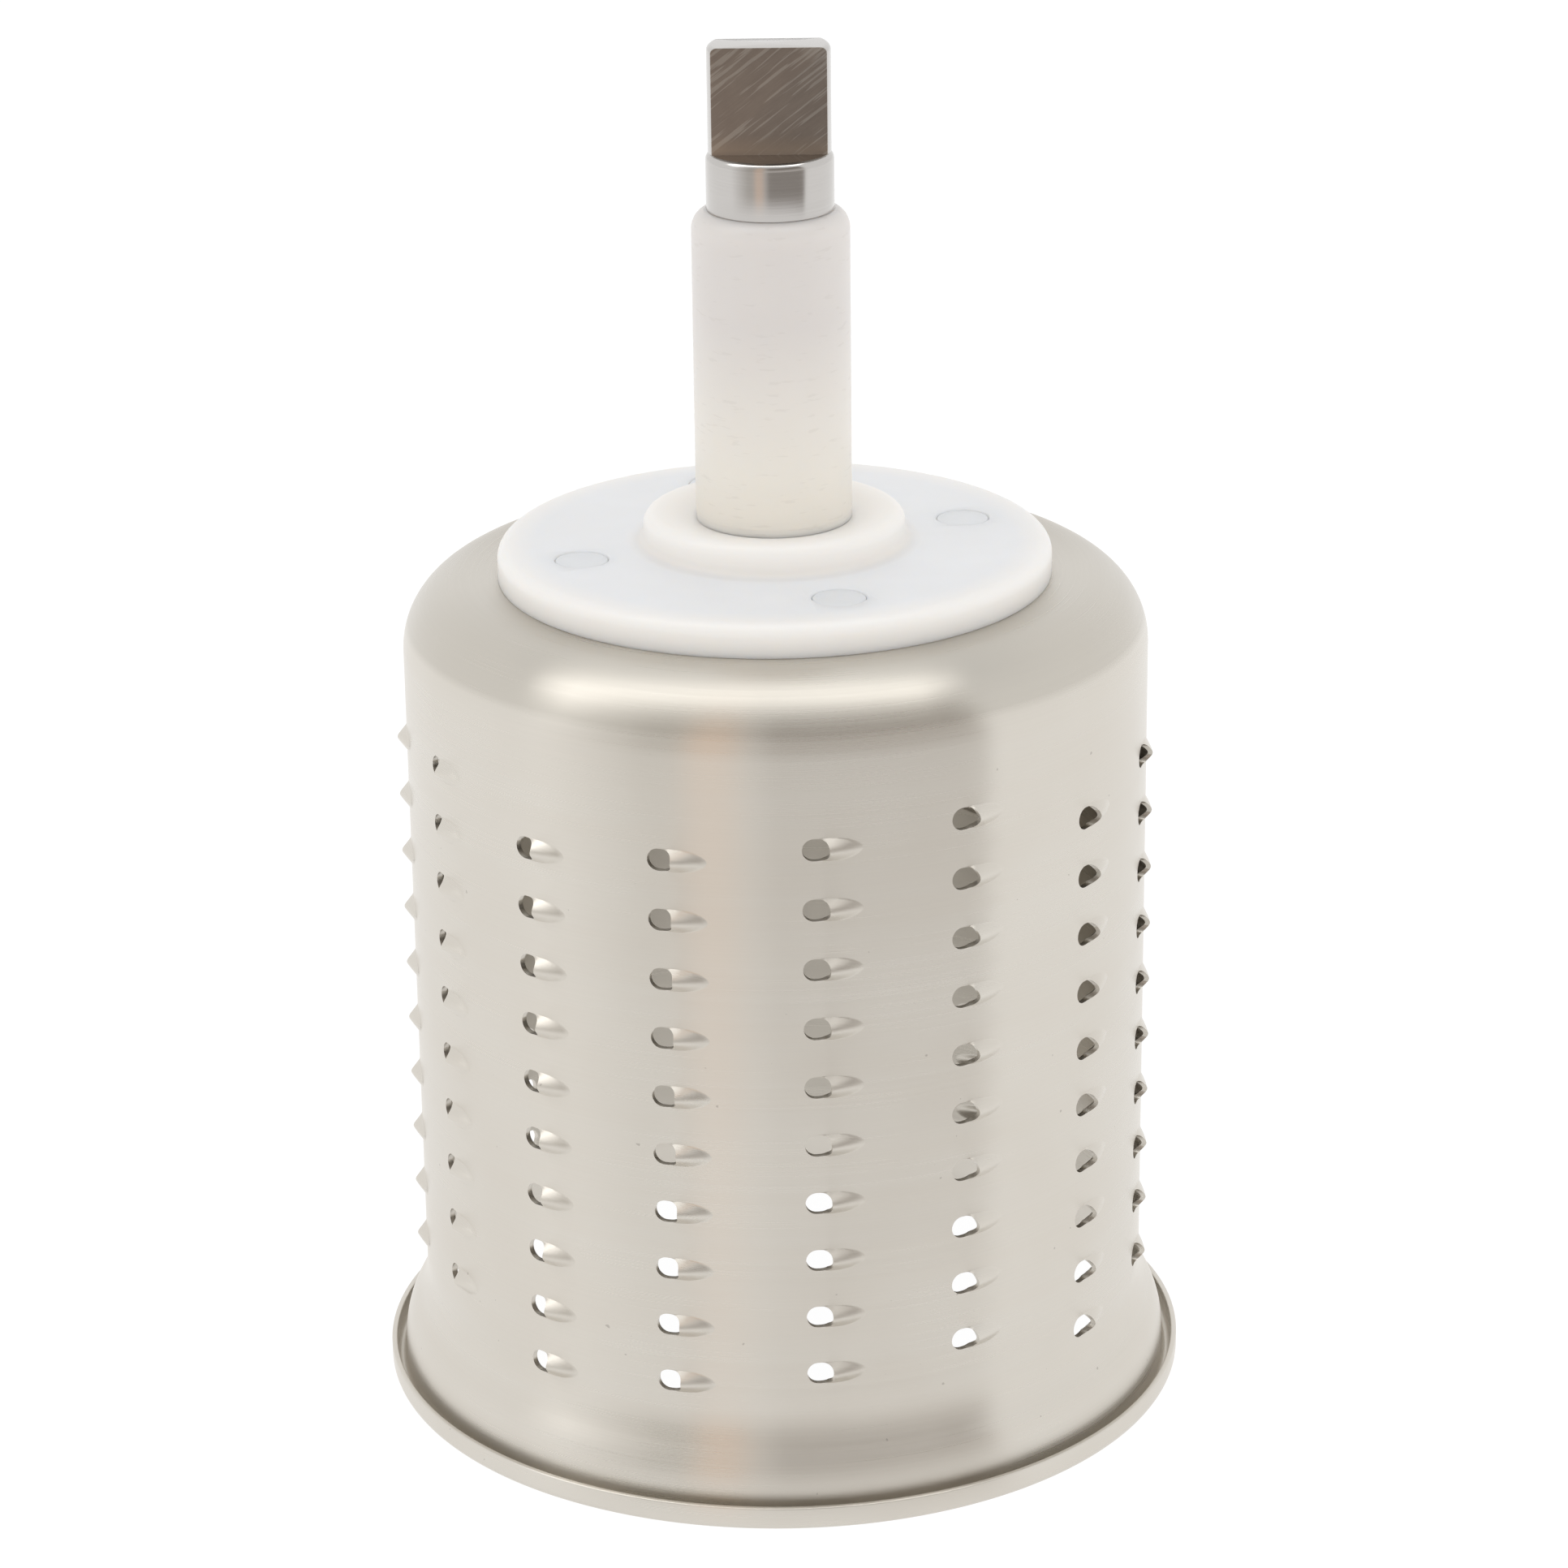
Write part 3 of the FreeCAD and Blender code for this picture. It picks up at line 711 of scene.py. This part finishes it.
sleeveLow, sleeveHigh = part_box("journal_sleeve")
sleeve = {
    "radius": sleeveHigh.x,
    "bottom": sleeveLow.z,
    "top": sleeveHigh.z,
    "edge": 2.1 * mm,              # rounded upper edge
    "bore": 5.05 * mm,
    "spigot": 7.2 * mm,
    "relief": 0.06 * mm,           # how far the turned-down foot is set back
    "reliefEdge": (0.05 * mm, 0.1 * mm),     # inwards and upwards
}


def sleeveSection():
    top, edge, radius = sleeve["top"], sleeve["edge"], sleeve["radius"]
    seat = hub["ringTop"] - hub["dish"]
    foot, neck = hub["ringTop"] + sleeve["relief"], radius - sleeve["relief"]
    inwards, upwards = sleeve["reliefEdge"]
    section = [(sleeve["bore"], sleeve["bottom"]), (sleeve["spigot"], sleeve["bottom"])]
    section += [(sleeve["spigot"], seat), (neck, seat)]
    section += [(neck, foot), (radius - inwards, foot), (radius, foot + upwards)]
    section += [(radius, top - edge * 2), (radius, top - edge)]
    section += arcPoints((radius - edge, top - edge), edge, 0, 90, 10)
    section += [(sleeve["bore"], top)]
    return section


spindleLow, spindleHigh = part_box("drive_spindle")
spindle = {
    "tail": spindleLow.z,
    "top": spindleHigh.z,
    "collar": spindleHigh.x,
    "tang": 6.35 * mm,             # rounded sides
    "tangThickness": 4.76 * mm,
    "tangLength": 11.0 * mm,
    "bevel": 0.9 * mm,             # radius of the rounded step between collar and tang
    "bevelInset": 0.63 * mm,       # that rounding's middle, inwards from the tang's sides
    "shank": 5.0 * mm,
    "thread": 4.0 * mm,
    "plateBottom": 88.1 * mm,
    "keyWidth": 7.6 * mm,
    "plateTop": 90.1 * mm,
    "threadPitch": 1.25 * mm,
    "threadDepth": 0.35 * mm,
    "threadShares": (0.35, 0.5, 0.9),        # crest's start and end, root's start in one pitch
    "topEdge": 0.6 * mm,           # rounded top corners
    "broken": 0.12 * mm,           # every other edge
}


def spindleSection():
    foot = spindle["top"] - spindle["tangLength"]
    edge = spindle["topEdge"]
    thread, depth, pitch = spindle["thread"], spindle["threadDepth"], spindle["threadPitch"]
    section = [(0, spindle["tail"]), (thread - depth, spindle["tail"])]
    turns = int((spindle["plateBottom"] - spindle["tail"]) / pitch)
    crest, crestEnd, root = spindle["threadShares"]
    for turn in range(turns):
        level = spindle["tail"] + turn * pitch
        section += [(thread, level + crest * pitch), (thread, level + crestEnd * pitch)]
        section += [(thread - depth, level + root * pitch)]
    section += [(thread - depth, spindle["plateBottom"])]
    section += [(spindle["shank"], spindle["plateBottom"])]
    section += [(spindle["shank"], sleeve["top"]), (spindle["collar"], sleeve["top"])]
    section += [(spindle["collar"], foot - spindle["bevel"])]
    bevelCenter = (spindle["tang"] - spindle["bevelInset"], foot - spindle["bevel"])
    section += arcPoints(bevelCenter, spindle["bevel"], 0, 72, 6)
    section += [(spindle["tang"], foot), (spindle["tang"], spindle["top"] - edge)]
    section += arcPoints((spindle["tang"] - edge, spindle["top"] - edge), edge, 0, 90, 6)
    section += [(0, spindle["top"])]
    return section


def makeSpindle():
    foot = spindle["top"] - spindle["tangLength"]
    half, wide = spindle["tangThickness"] / 2, 2 * spindle["collar"]
    keyHalf = spindle["keyWidth"] / 2
    tools = []
    for side in (-1, 1):
        low, high = sorted((side * half, side * wide))
        tools.append(boxMesh("flat", (-wide, low, foot), (wide, high, spindle["top"] + 1 * mm)))
        low, high = sorted((side * keyHalf, side * wide))
        keyFoot = spindle["plateBottom"] - 0.01 * mm
        tools.append(boxMesh("key", (-wide, low, keyFoot), (wide, high, spindle["plateTop"])))
    section = spindleSection()
    return cutMesh(latheMesh("spindle", section, 160, False), tools, spindle["broken"])


grainDepth = 0.02 * mm             # depth of fine marks in a surface
markDepth = 0.03 * mm              # depth of coarser ones
hammerDepth = 0.1 * mm


def objectPlace(tree):
    # position on the object in millimetres, and distance from its axis
    x, y, z = tree.split(tree.node("ShaderNodeTexCoord", out=3))     # object coordinates
    x, y, z = x * 1000.0, y * 1000.0, z * 1000.0
    return x, y, z, fromAxis(x, y)


def fromAxis(x, y):
    return x.maths("SQRT", x * x + y * y)


def shaded(tree, colour, shade):
    # a colour made lighter or darker by a share
    return tree.mix(1.0, colour, tree.vector(shade, shade, shade), "MULTIPLY")


def above(value, edge, soft):
    # 0 below the edge and 1 above it, with a soft step
    return ((value - edge) / soft + 0.5).clamped()


def near(value, middle, reach):
    # 1 at the middle and 0 at the reach on either side
    away = value.maths("ABSOLUTE", value - middle)
    return (1 - away / reach).clamped()


steel = {
    "tint": (0.70, 0.668, 0.610, 1.0),
    "warmTint": (0.685, 0.640, 0.572, 1.0),
    "insideTint": (0.60, 0.565, 0.505, 1.0),
    "roughness": 0.29,
    "stretch": 1.0,                # how far the hairlines spread a highlight
    "hairline": 0.22,              # width of the hairlines in mm
    "hairlineDepth": 0.25,
    "speck": (0.33, 0.30, 0.27, 1.0),
    "speckLevel": 0.815,           # higher for fewer specks
}


def makeDrumSteel():
    material, tree = newMaterial("brushedDrumSteel")
    x, y, z, radius = objectPlace(tree)
    across = z - radius
    hairlines = tree.vector(x * 0.014, y * 0.014, across / steel["hairline"])
    fine = tree.noise(hairlines, 1.0, 3.0, 0.6)
    broad = tree.noise(tree.vector(x * 0.02, y * 0.02, across * 0.45), 1.0, 2.0, 0.5)
    cloud = tree.noise(tree.vector(x, y, z), 0.06, 2.0, 0.5)
    speck = above(tree.noise(tree.vector(x, y, z), 1.3, 1.0, 0.4), steel["speckLevel"], 0.02)
    inside = 1 - above(radius, drum["wallRadius"] / mm - 0.45, 0.3)
    tone = ((cloud - 0.5) * 0.9 + (broad - 0.5) * 0.7 + 0.5).clamped()
    colour = tree.mix(tone, steel["tint"], steel["warmTint"])
    shade = 1.0 + (fine - 0.5) * 0.07
    colour = shaded(tree, colour, shade)
    colour = tree.mix(speck * 0.5, colour, steel["speck"])
    colour = tree.mix(inside, colour, steel["insideTint"])
    roughness = steel["roughness"] + (fine - 0.5) * 0.10 + (cloud - 0.5) * 0.06
    normal = tree.bump(fine, steel["hairlineDepth"], grainDepth)
    finishSurface(
        tree, Base_Color=colour, Metallic=1.0, Roughness=roughness, Anisotropic=steel["stretch"],
        Anisotropic_Rotation=0.25, Normal=normal,
    )
    return material


plastic = {
    "hub": rgb(240, 241, 243),
    "hubShade": rgb(229, 229, 229),
    "hubPaintedWarmLight": rgb(245, 241, 236),     # painted warm light on the ring and the outer edge
    # painted light: the sleeve's lower half lighter, as if lit from the disc below, its upper half
    # greyer
    "sleeve": rgb(240, 235, 226),
    "sleeveUpperPaintedShade": rgb(222, 217, 213),
    "plug": rgb(240, 241, 242),
    # painted shade for the corner at the ring's foot
    "paintedCornerShade": rgb(150, 138, 120),
    "rubbed": rgb(176, 168, 158),
    "roughness": 0.42,
    "glow": 0.8,                   # share of light that goes through the surface
    "glowReach": (1.0, 0.92, 0.82),
    "glowScale": 0.0022,
}


def finishPlastic(tree, colour, roughness, normal):
    finishSurface(
        tree, Base_Color=colour, Roughness=roughness, Normal=normal,
        Subsurface_Weight=plastic["glow"], Subsurface_Radius=plastic["glowReach"],
        Subsurface_Scale=plastic["glowScale"],
    )


def makeHubPlastic():
    material, tree = newMaterial("mouldedHubPlastic")
    x, y, z, radius = objectPlace(tree)
    place = tree.vector(x, y, z)
    cloud = tree.noise(place, 0.09, 3.0, 0.55)
    grain = tree.noise(place, 6.0, 2.0, 0.6)
    colour = tree.mix(cloud * 0.7, plastic["hub"], plastic["hubShade"])
    top = (hub["bottom"] + hub["thickness"]) / mm
    # painted warm light on the ring and the disc's outer edge
    ringPart = (1 - above(radius, hub["ringRadius"] / mm + 1.2, 1.6)) * above(z, top, 0.8)
    edgePart = above(radius, hub["radius"] / mm - 2.0, 4.0)
    colour = tree.mix((ringPart + edgePart).clamped(), colour, plastic["hubPaintedWarmLight"])
    # painted shade in the corner where the ring meets the disc, a little uneven
    corner = near(radius, hub["ringRadius"] / mm + 0.5, 1.1) * near(z, top, 1.2)
    paintedCornerShade = corner * 0.10 * (0.6 + cloud * 0.8)
    colour = tree.mix(paintedCornerShade.clamped(), colour, plastic["paintedCornerShade"])
    roughness = plastic["roughness"] + (grain - 0.5) * 0.10 + (cloud - 0.5) * 0.12
    normal = tree.bump(grain, 0.10, grainDepth)
    finishPlastic(tree, colour, roughness, normal)
    return material


def makePlugPlastic():
    material, tree = newMaterial("plugPlastic")
    x, y, z, radius = objectPlace(tree)
    place = tree.vector(x, y, z)
    cloud = tree.noise(place, 0.4, 2.0, 0.5)
    grain = tree.noise(place, 7.0, 2.0, 0.6)
    colour = tree.mix(cloud * 0.6, plastic["plug"], plastic["hubShade"])
    roughness = plastic["roughness"] - 0.04 + (grain - 0.5) * 0.10
    finishPlastic(tree, colour, roughness, tree.bump(grain, 0.12, grainDepth))
    return material


def makeSleevePlastic():
    material, tree = newMaterial("turnedSleevePlastic")
    x, y, z, radius = objectPlace(tree)
    cloud = tree.noise(tree.vector(x, y, z), 0.12, 3.0, 0.55)
    turned = tree.noise(tree.vector(x * 0.05, y * 0.05, z * 5.0), 1.0, 2.0, 0.5)
    rub = above(tree.noise(tree.vector(x * 0.4, y * 0.4, z * 2.2), 1.0, 2.0, 0.5), 0.66, 0.06)
    # painted light: lighter towards the bottom, as if lit from the disc below, greyer towards the top
    upper = above(z, (sleeve["bottom"] + sleeve["top"]) / 2 / mm, 16.0)
    colour = tree.mix(upper, plastic["sleeve"], plastic["sleeveUpperPaintedShade"])
    shade = 1.0 - cloud * 0.035
    colour = shaded(tree, colour, shade)
    colour = tree.mix(rub * 0.10, colour, plastic["rubbed"])
    roughness = 0.36 + (turned - 0.5) * 0.10 + rub * 0.08
    finishPlastic(tree, colour, roughness, tree.bump(turned, 0.12, grainDepth))
    return material


spindleFinish = {
    "polished": (0.54, 0.52, 0.50, 1.0),
    "ground": (0.225, 0.19, 0.165, 1.0),
    "groundLight": (0.30, 0.257, 0.22, 1.0),
    "rubbed": (0.50, 0.47, 0.43, 1.0),
    "ledge": (0.42, 0.33, 0.25, 1.0),      # foot of the flats
    "scratchTurn": 38.0,           # lean of the grinding marks, in degrees
}


def makeSpindleSteel():
    material, tree = newMaterial("spindleSteel")
    x, y, z, radius = objectPlace(tree)
    foot = (spindle["top"] - spindle["tangLength"]) / mm
    half = spindle["tangThickness"] / 2 / mm
    away = y.maths("ABSOLUTE", y)
    flat = above(z, foot - 0.05, 0.1) * above(away, half - 0.12, 0.04)
    flat = flat * above(half + 0.03 - away, 0.0, 0.02)
    lean = math.radians(spindleFinish["scratchTurn"])
    along = x * math.cos(lean) + z * math.sin(lean)
    aside = z * math.cos(lean) - x * math.sin(lean)
    marks = tree.noise(tree.vector(along * 0.35, aside * 6.0, y), 1.0, 3.0, 0.6)
    strokes = tree.noise(tree.vector(along * 0.16, aside * 3.2, y * 0.2), 1.0, 1.0, 0.5)
    strokes = above(strokes, 0.60, 0.05)
    cloud = tree.noise(tree.vector(x, y, z), 0.35, 3.0, 0.6)
    ring = tree.noise(tree.vector(x * 0.05, y * 0.05, z * 6.0 + radius * 6.0), 1.0, 3.0, 0.55)
    tone = (cloud * 0.7 + (marks - 0.5) * 0.9).clamped()
    flatColour = tree.mix(tone, spindleFinish["ground"], spindleFinish["groundLight"])
    flatColour = tree.mix(strokes * 0.35, flatColour, spindleFinish["rubbed"])
    # painted highlight: the flats lighter towards their upper corner at +x, patchy along the grinding
    # marks, in the rubbed colour
    corner = above(x + z * 0.8, spindle["tang"] / mm + foot * 0.8 + 6.2, 2.2)
    corner = corner * above(marks, 0.45, 0.2)
    flatColour = tree.mix(corner * 0.45, flatColour, spindleFinish["rubbed"])
    ledge = near(z, foot + 0.5, 1.5)
    flatColour = tree.mix(ledge * 0.35, flatColour, spindleFinish["ledge"])
    shade = 1.0 + (ring - 0.5) * 0.10
    roundColour = shaded(tree, spindleFinish["polished"], shade)
    colour = tree.mix(flat, roundColour, flatColour)
    roundRoughness = 0.16 + (ring - 0.5) * 0.10
    flatRoughness = 0.42 + (marks - 0.5) * 0.2
    roughness = roundRoughness * (1 - flat) + flatRoughness * flat
    height = ring * (1 - flat) * 0.6 + (marks + strokes * 0.8) * flat
    finishSurface(
        tree, Base_Color=colour, Metallic=1.0, Roughness=roughness,
        Normal=tree.bump(height, 0.16, markDepth),
    )
    return material


hidden = {
    "plate": (0.50, 0.49, 0.47, 1.0),
    "plateDark": (0.36, 0.345, 0.325, 1.0),
    "plateStain": (0.26, 0.23, 0.20, 1.0),
    "plateRim": (0.62, 0.61, 0.59, 1.0),
    "plateRimRadius": 26.2,        # mm
    "fastener": (0.58, 0.57, 0.56, 1.0),
    "fastenerDark": (0.43, 0.42, 0.405, 1.0),
    "rivet": (0.56, 0.55, 0.53, 1.0),
    "rivetDark": (0.40, 0.385, 0.365, 1.0),
}


def makePlateSteel():
    material, tree = newMaterial("rolledPlateSteel")
    x, y, z, radius = objectPlace(tree)
    rolled = tree.noise(tree.vector(x * 0.08, y * 3.0, z), 1.0, 3.0, 0.6)
    cloud = tree.noise(tree.vector(x, y, z), 0.12, 4.0, 0.6)
    stain = above(tree.noise(tree.vector(x, y, z), 0.32, 3.0, 0.6), 0.62, 0.10)
    tone = (cloud * 0.6 + rolled * 0.3).clamped()
    colour = tree.mix(tone, hidden["plate"], hidden["plateDark"])
    colour = tree.mix(stain * 0.22, colour, hidden["plateStain"])
    rim = above(radius, hidden["plateRimRadius"], 0.8)
    colour = tree.mix(rim * 0.35, colour, hidden["plateRim"])
    roughness = 0.38 + (cloud - 0.5) * 0.2 + (rolled - 0.5) * 0.12
    finishSurface(
        tree, Base_Color=colour, Metallic=1.0, Roughness=roughness,
        Normal=tree.bump(rolled + cloud * 0.5, 0.2, markDepth),
    )
    return material


def makeFastenerSteel():
    material, tree = newMaterial("machinedFastenerSteel")
    x, y, z, radius = objectPlace(tree)
    turned = tree.noise(tree.vector(x * 0.06, y * 0.06, radius * 7.0 + z * 5.0), 1.0, 3.0, 0.6)
    cloud = tree.noise(tree.vector(x, y, z), 0.5, 3.0, 0.6)
    colour = tree.mix(cloud * 0.8, hidden["fastener"], hidden["fastenerDark"])
    roughness = 0.30 + (turned - 0.5) * 0.16 + (cloud - 0.5) * 0.14
    finishSurface(
        tree, Base_Color=colour, Metallic=1.0, Roughness=roughness,
        Normal=tree.bump(turned, 0.25, markDepth),
    )
    return material


def makeRivetSteel():
    material, tree = newMaterial("upsetRivetSteel")
    x, y, z, radius = objectPlace(tree)
    hammered = tree.noise(tree.vector(x, y, z), 1.6, 3.0, 0.55)
    cloud = tree.noise(tree.vector(x, y, z), 0.7, 2.0, 0.5)
    colour = tree.mix(cloud * 0.9, hidden["rivet"], hidden["rivetDark"])
    roughness = 0.30 + (hammered - 0.5) * 0.25
    finishSurface(
        tree, Base_Color=colour, Metallic=1.0, Roughness=roughness,
        Normal=tree.bump(hammered, 0.35, hammerDepth),
    )
    return material


def refinish(material, *nodes):
    for name in nodes:
        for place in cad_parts[name].material_slots:
            place.material = material


addPiece("drum", drumMesh, makeDrumSteel(), "brushed_stainless", "drum_shell")
addPiece("hub", makeHub(), makeHubPlastic(), "white_plastic", "hub_flange")
makePlugs(makePlugPlastic())
print("hub and plugs made")
sleeveMesh = latheMesh("sleeve", sleeveSection(), 192)
addPiece("sleeve", sleeveMesh, makeSleevePlastic(), "sleeve_plastic", "journal_sleeve")
addPiece("spindle", makeSpindle(), makeSpindleSteel(), "ground_steel", "drive_spindle")
print("sleeve and spindle made")
fastenerSteel = makeFastenerSteel()
refinish(makePlateSteel(), "backing_plate")
refinish(fastenerSteel, "spindle_washer", "spindle_nut")
refinish(makeRivetSteel(), "rivet_1", "rivet_2", "rivet_3", "rivet_4")
print("plate, fasteners and rivets finished")

view = {
    "place": (0.0007, -0.4922, 0.2503),
    "target": (0.0007, 0.0, 0.0665),
    "roll": -0.68,                 # degrees
    "lens": 112.46,
    "sensor": 36.0,
}


def addCamera():
    data = bpy.data.cameras.new("camera")
    data.sensor_width = view["sensor"]
    data.lens = view["lens"]
    camera = bpy.data.objects.new("camera", data)
    camera.location = view["place"]
    look = Vector(view["target"]) - Vector(view["place"])
    aim = look.to_track_quat("-Z", "Y")
    roll = Quaternion((0.0, 0.0, 1.0), math.radians(view["roll"]))
    camera.rotation_mode = "QUATERNION"
    camera.rotation_quaternion = aim @ roll
    bpy.context.scene.collection.objects.link(camera)
    bpy.context.scene.camera = camera


studio = {
    "floorSize": 8.0,
    "floorGlow": 0.98,             # brightness of the floor itself
    "floorDiffuse": (0.08, 0.08, 0.08, 1.0),
    "tableReach": 0.33,            # metal mirrors the dim room beyond this much of the table
    "tableSoft": 0.10,
    "dimSide": (-9.0, 64.0),       # degrees round from the camera, to the right
    "leftSideEnd": -56.0,
    "peachSide": (-27.0, -12.0),
    "lampPlace": (-0.22, -0.05, 0.80),
    "lampSize": (1.35, 0.34),
    "lampPower": 2.7,
    "walls": (1.0, 1.0, 1.0, 1.0),
    "ceiling": (0.86, 0.87, 0.88, 1.0),
    "dark": (0.29, 0.262, 0.24, 1.0),
    "horizon": (0.66, 0.63, 0.60, 1.0),
    "leftSide": (0.56, 0.54, 0.51, 1.0),
    "peach": (0.80, 0.64, 0.53, 1.0),
}


def glossyRay(tree):
    # 1 where the surroundings are seen as a reflection, 0 otherwise
    return tree.node("ShaderNodeLightPath", out=3)


def roomRound(tree, x, y, low, level):
    # the room in front of the object, as metal mirrors it: a dim part that is lighter
    # near the horizon, a paler one to its left and a warm strip over their border
    turn = x.maths("ARCTAN2", x, -y) * (180 / math.pi)
    mirrored = glossyRay(tree) * low
    dimStart, dimEnd = studio["dimSide"]
    peachStart, peachEnd = studio["peachSide"]
    dimPart = above(turn, dimStart, 16.0) * (1 - above(turn, dimEnd, 6.0)) * mirrored
    leftPart = above(turn, studio["leftSideEnd"], 34.0) * (1 - above(turn, dimStart, 16.0)) * mirrored
    warmStrip = above(turn, peachStart, 8.0) * (1 - above(turn, peachEnd, 9.0)) * mirrored
    colour = tree.mix(low, studio["ceiling"], studio["walls"])
    colour = tree.mix(leftPart, colour, studio["leftSide"])
    colour = tree.mix(dimPart, colour, tree.mix(level, studio["dark"], studio["horizon"]))
    return tree.mix(warmStrip, colour, studio["peach"])


def addFloor():
    material, tree = newMaterial("floor")
    x, y, z = tree.split(tree.node("ShaderNodeTexCoord", out=3))
    pale = studio["floorGlow"]
    mirrored = above(fromAxis(x, y), studio["tableReach"], studio["tableSoft"]) * glossyRay(tree)
    colour = tree.mix(mirrored, (pale, pale, pale, 1.0), roomRound(tree, x, y, 1.0, 0.0))
    finishSurface(
        tree, Base_Color=studio["floorDiffuse"], Roughness=0.9, Specular_IOR_Level=0.0,
        Emission_Color=colour, Emission_Strength=1.0,
    )
    size = studio["floorSize"] / 2
    corners = [(-size, -size, 0), (size, -size, 0), (size, size, 0), (-size, size, 0)]
    mesh = bpy.data.meshes.new("floor")
    mesh.from_pydata(corners, [], [(0, 1, 2, 3)])
    mesh.materials.append(material)
    floor = bpy.data.objects.new("floor", mesh)
    bpy.context.scene.collection.objects.link(floor)


def makeRoom():
    world = bpy.data.worlds.new("studio")
    bpy.context.scene.world = world
    tree = Tree(world)
    x, y, z = tree.split(tree.node("ShaderNodeTexCoord", out=0))
    tall = z.maths("ARCSINE", z) * (180 / math.pi)
    low = 1 - above(tall, 50.0, 20.0)
    level = 1 - above(tall, 17.0, 26.0)
    glow = tree.node("ShaderNodeBackground", None, roomRound(tree, x, y, low, level), 1.0)
    tree.node("ShaderNodeOutputWorld", None, glow)


def addLamp(name, place, size, power):
    # points straight down and is seen only as a highlight
    data = bpy.data.lights.new(name, "AREA")
    data.shape = "RECTANGLE"
    data.size, data.size_y = size
    data.energy = power
    lamp = bpy.data.objects.new(name, data)
    lamp.location = place
    lamp.visible_diffuse = False
    bpy.context.scene.collection.objects.link(lamp)


addCamera()
addFloor()
makeRoom()
addLamp("overhead", studio["lampPlace"], studio["lampSize"], studio["lampPower"])
bpy.context.scene.view_settings.view_transform = "Standard"
print("camera, floor and lights set")
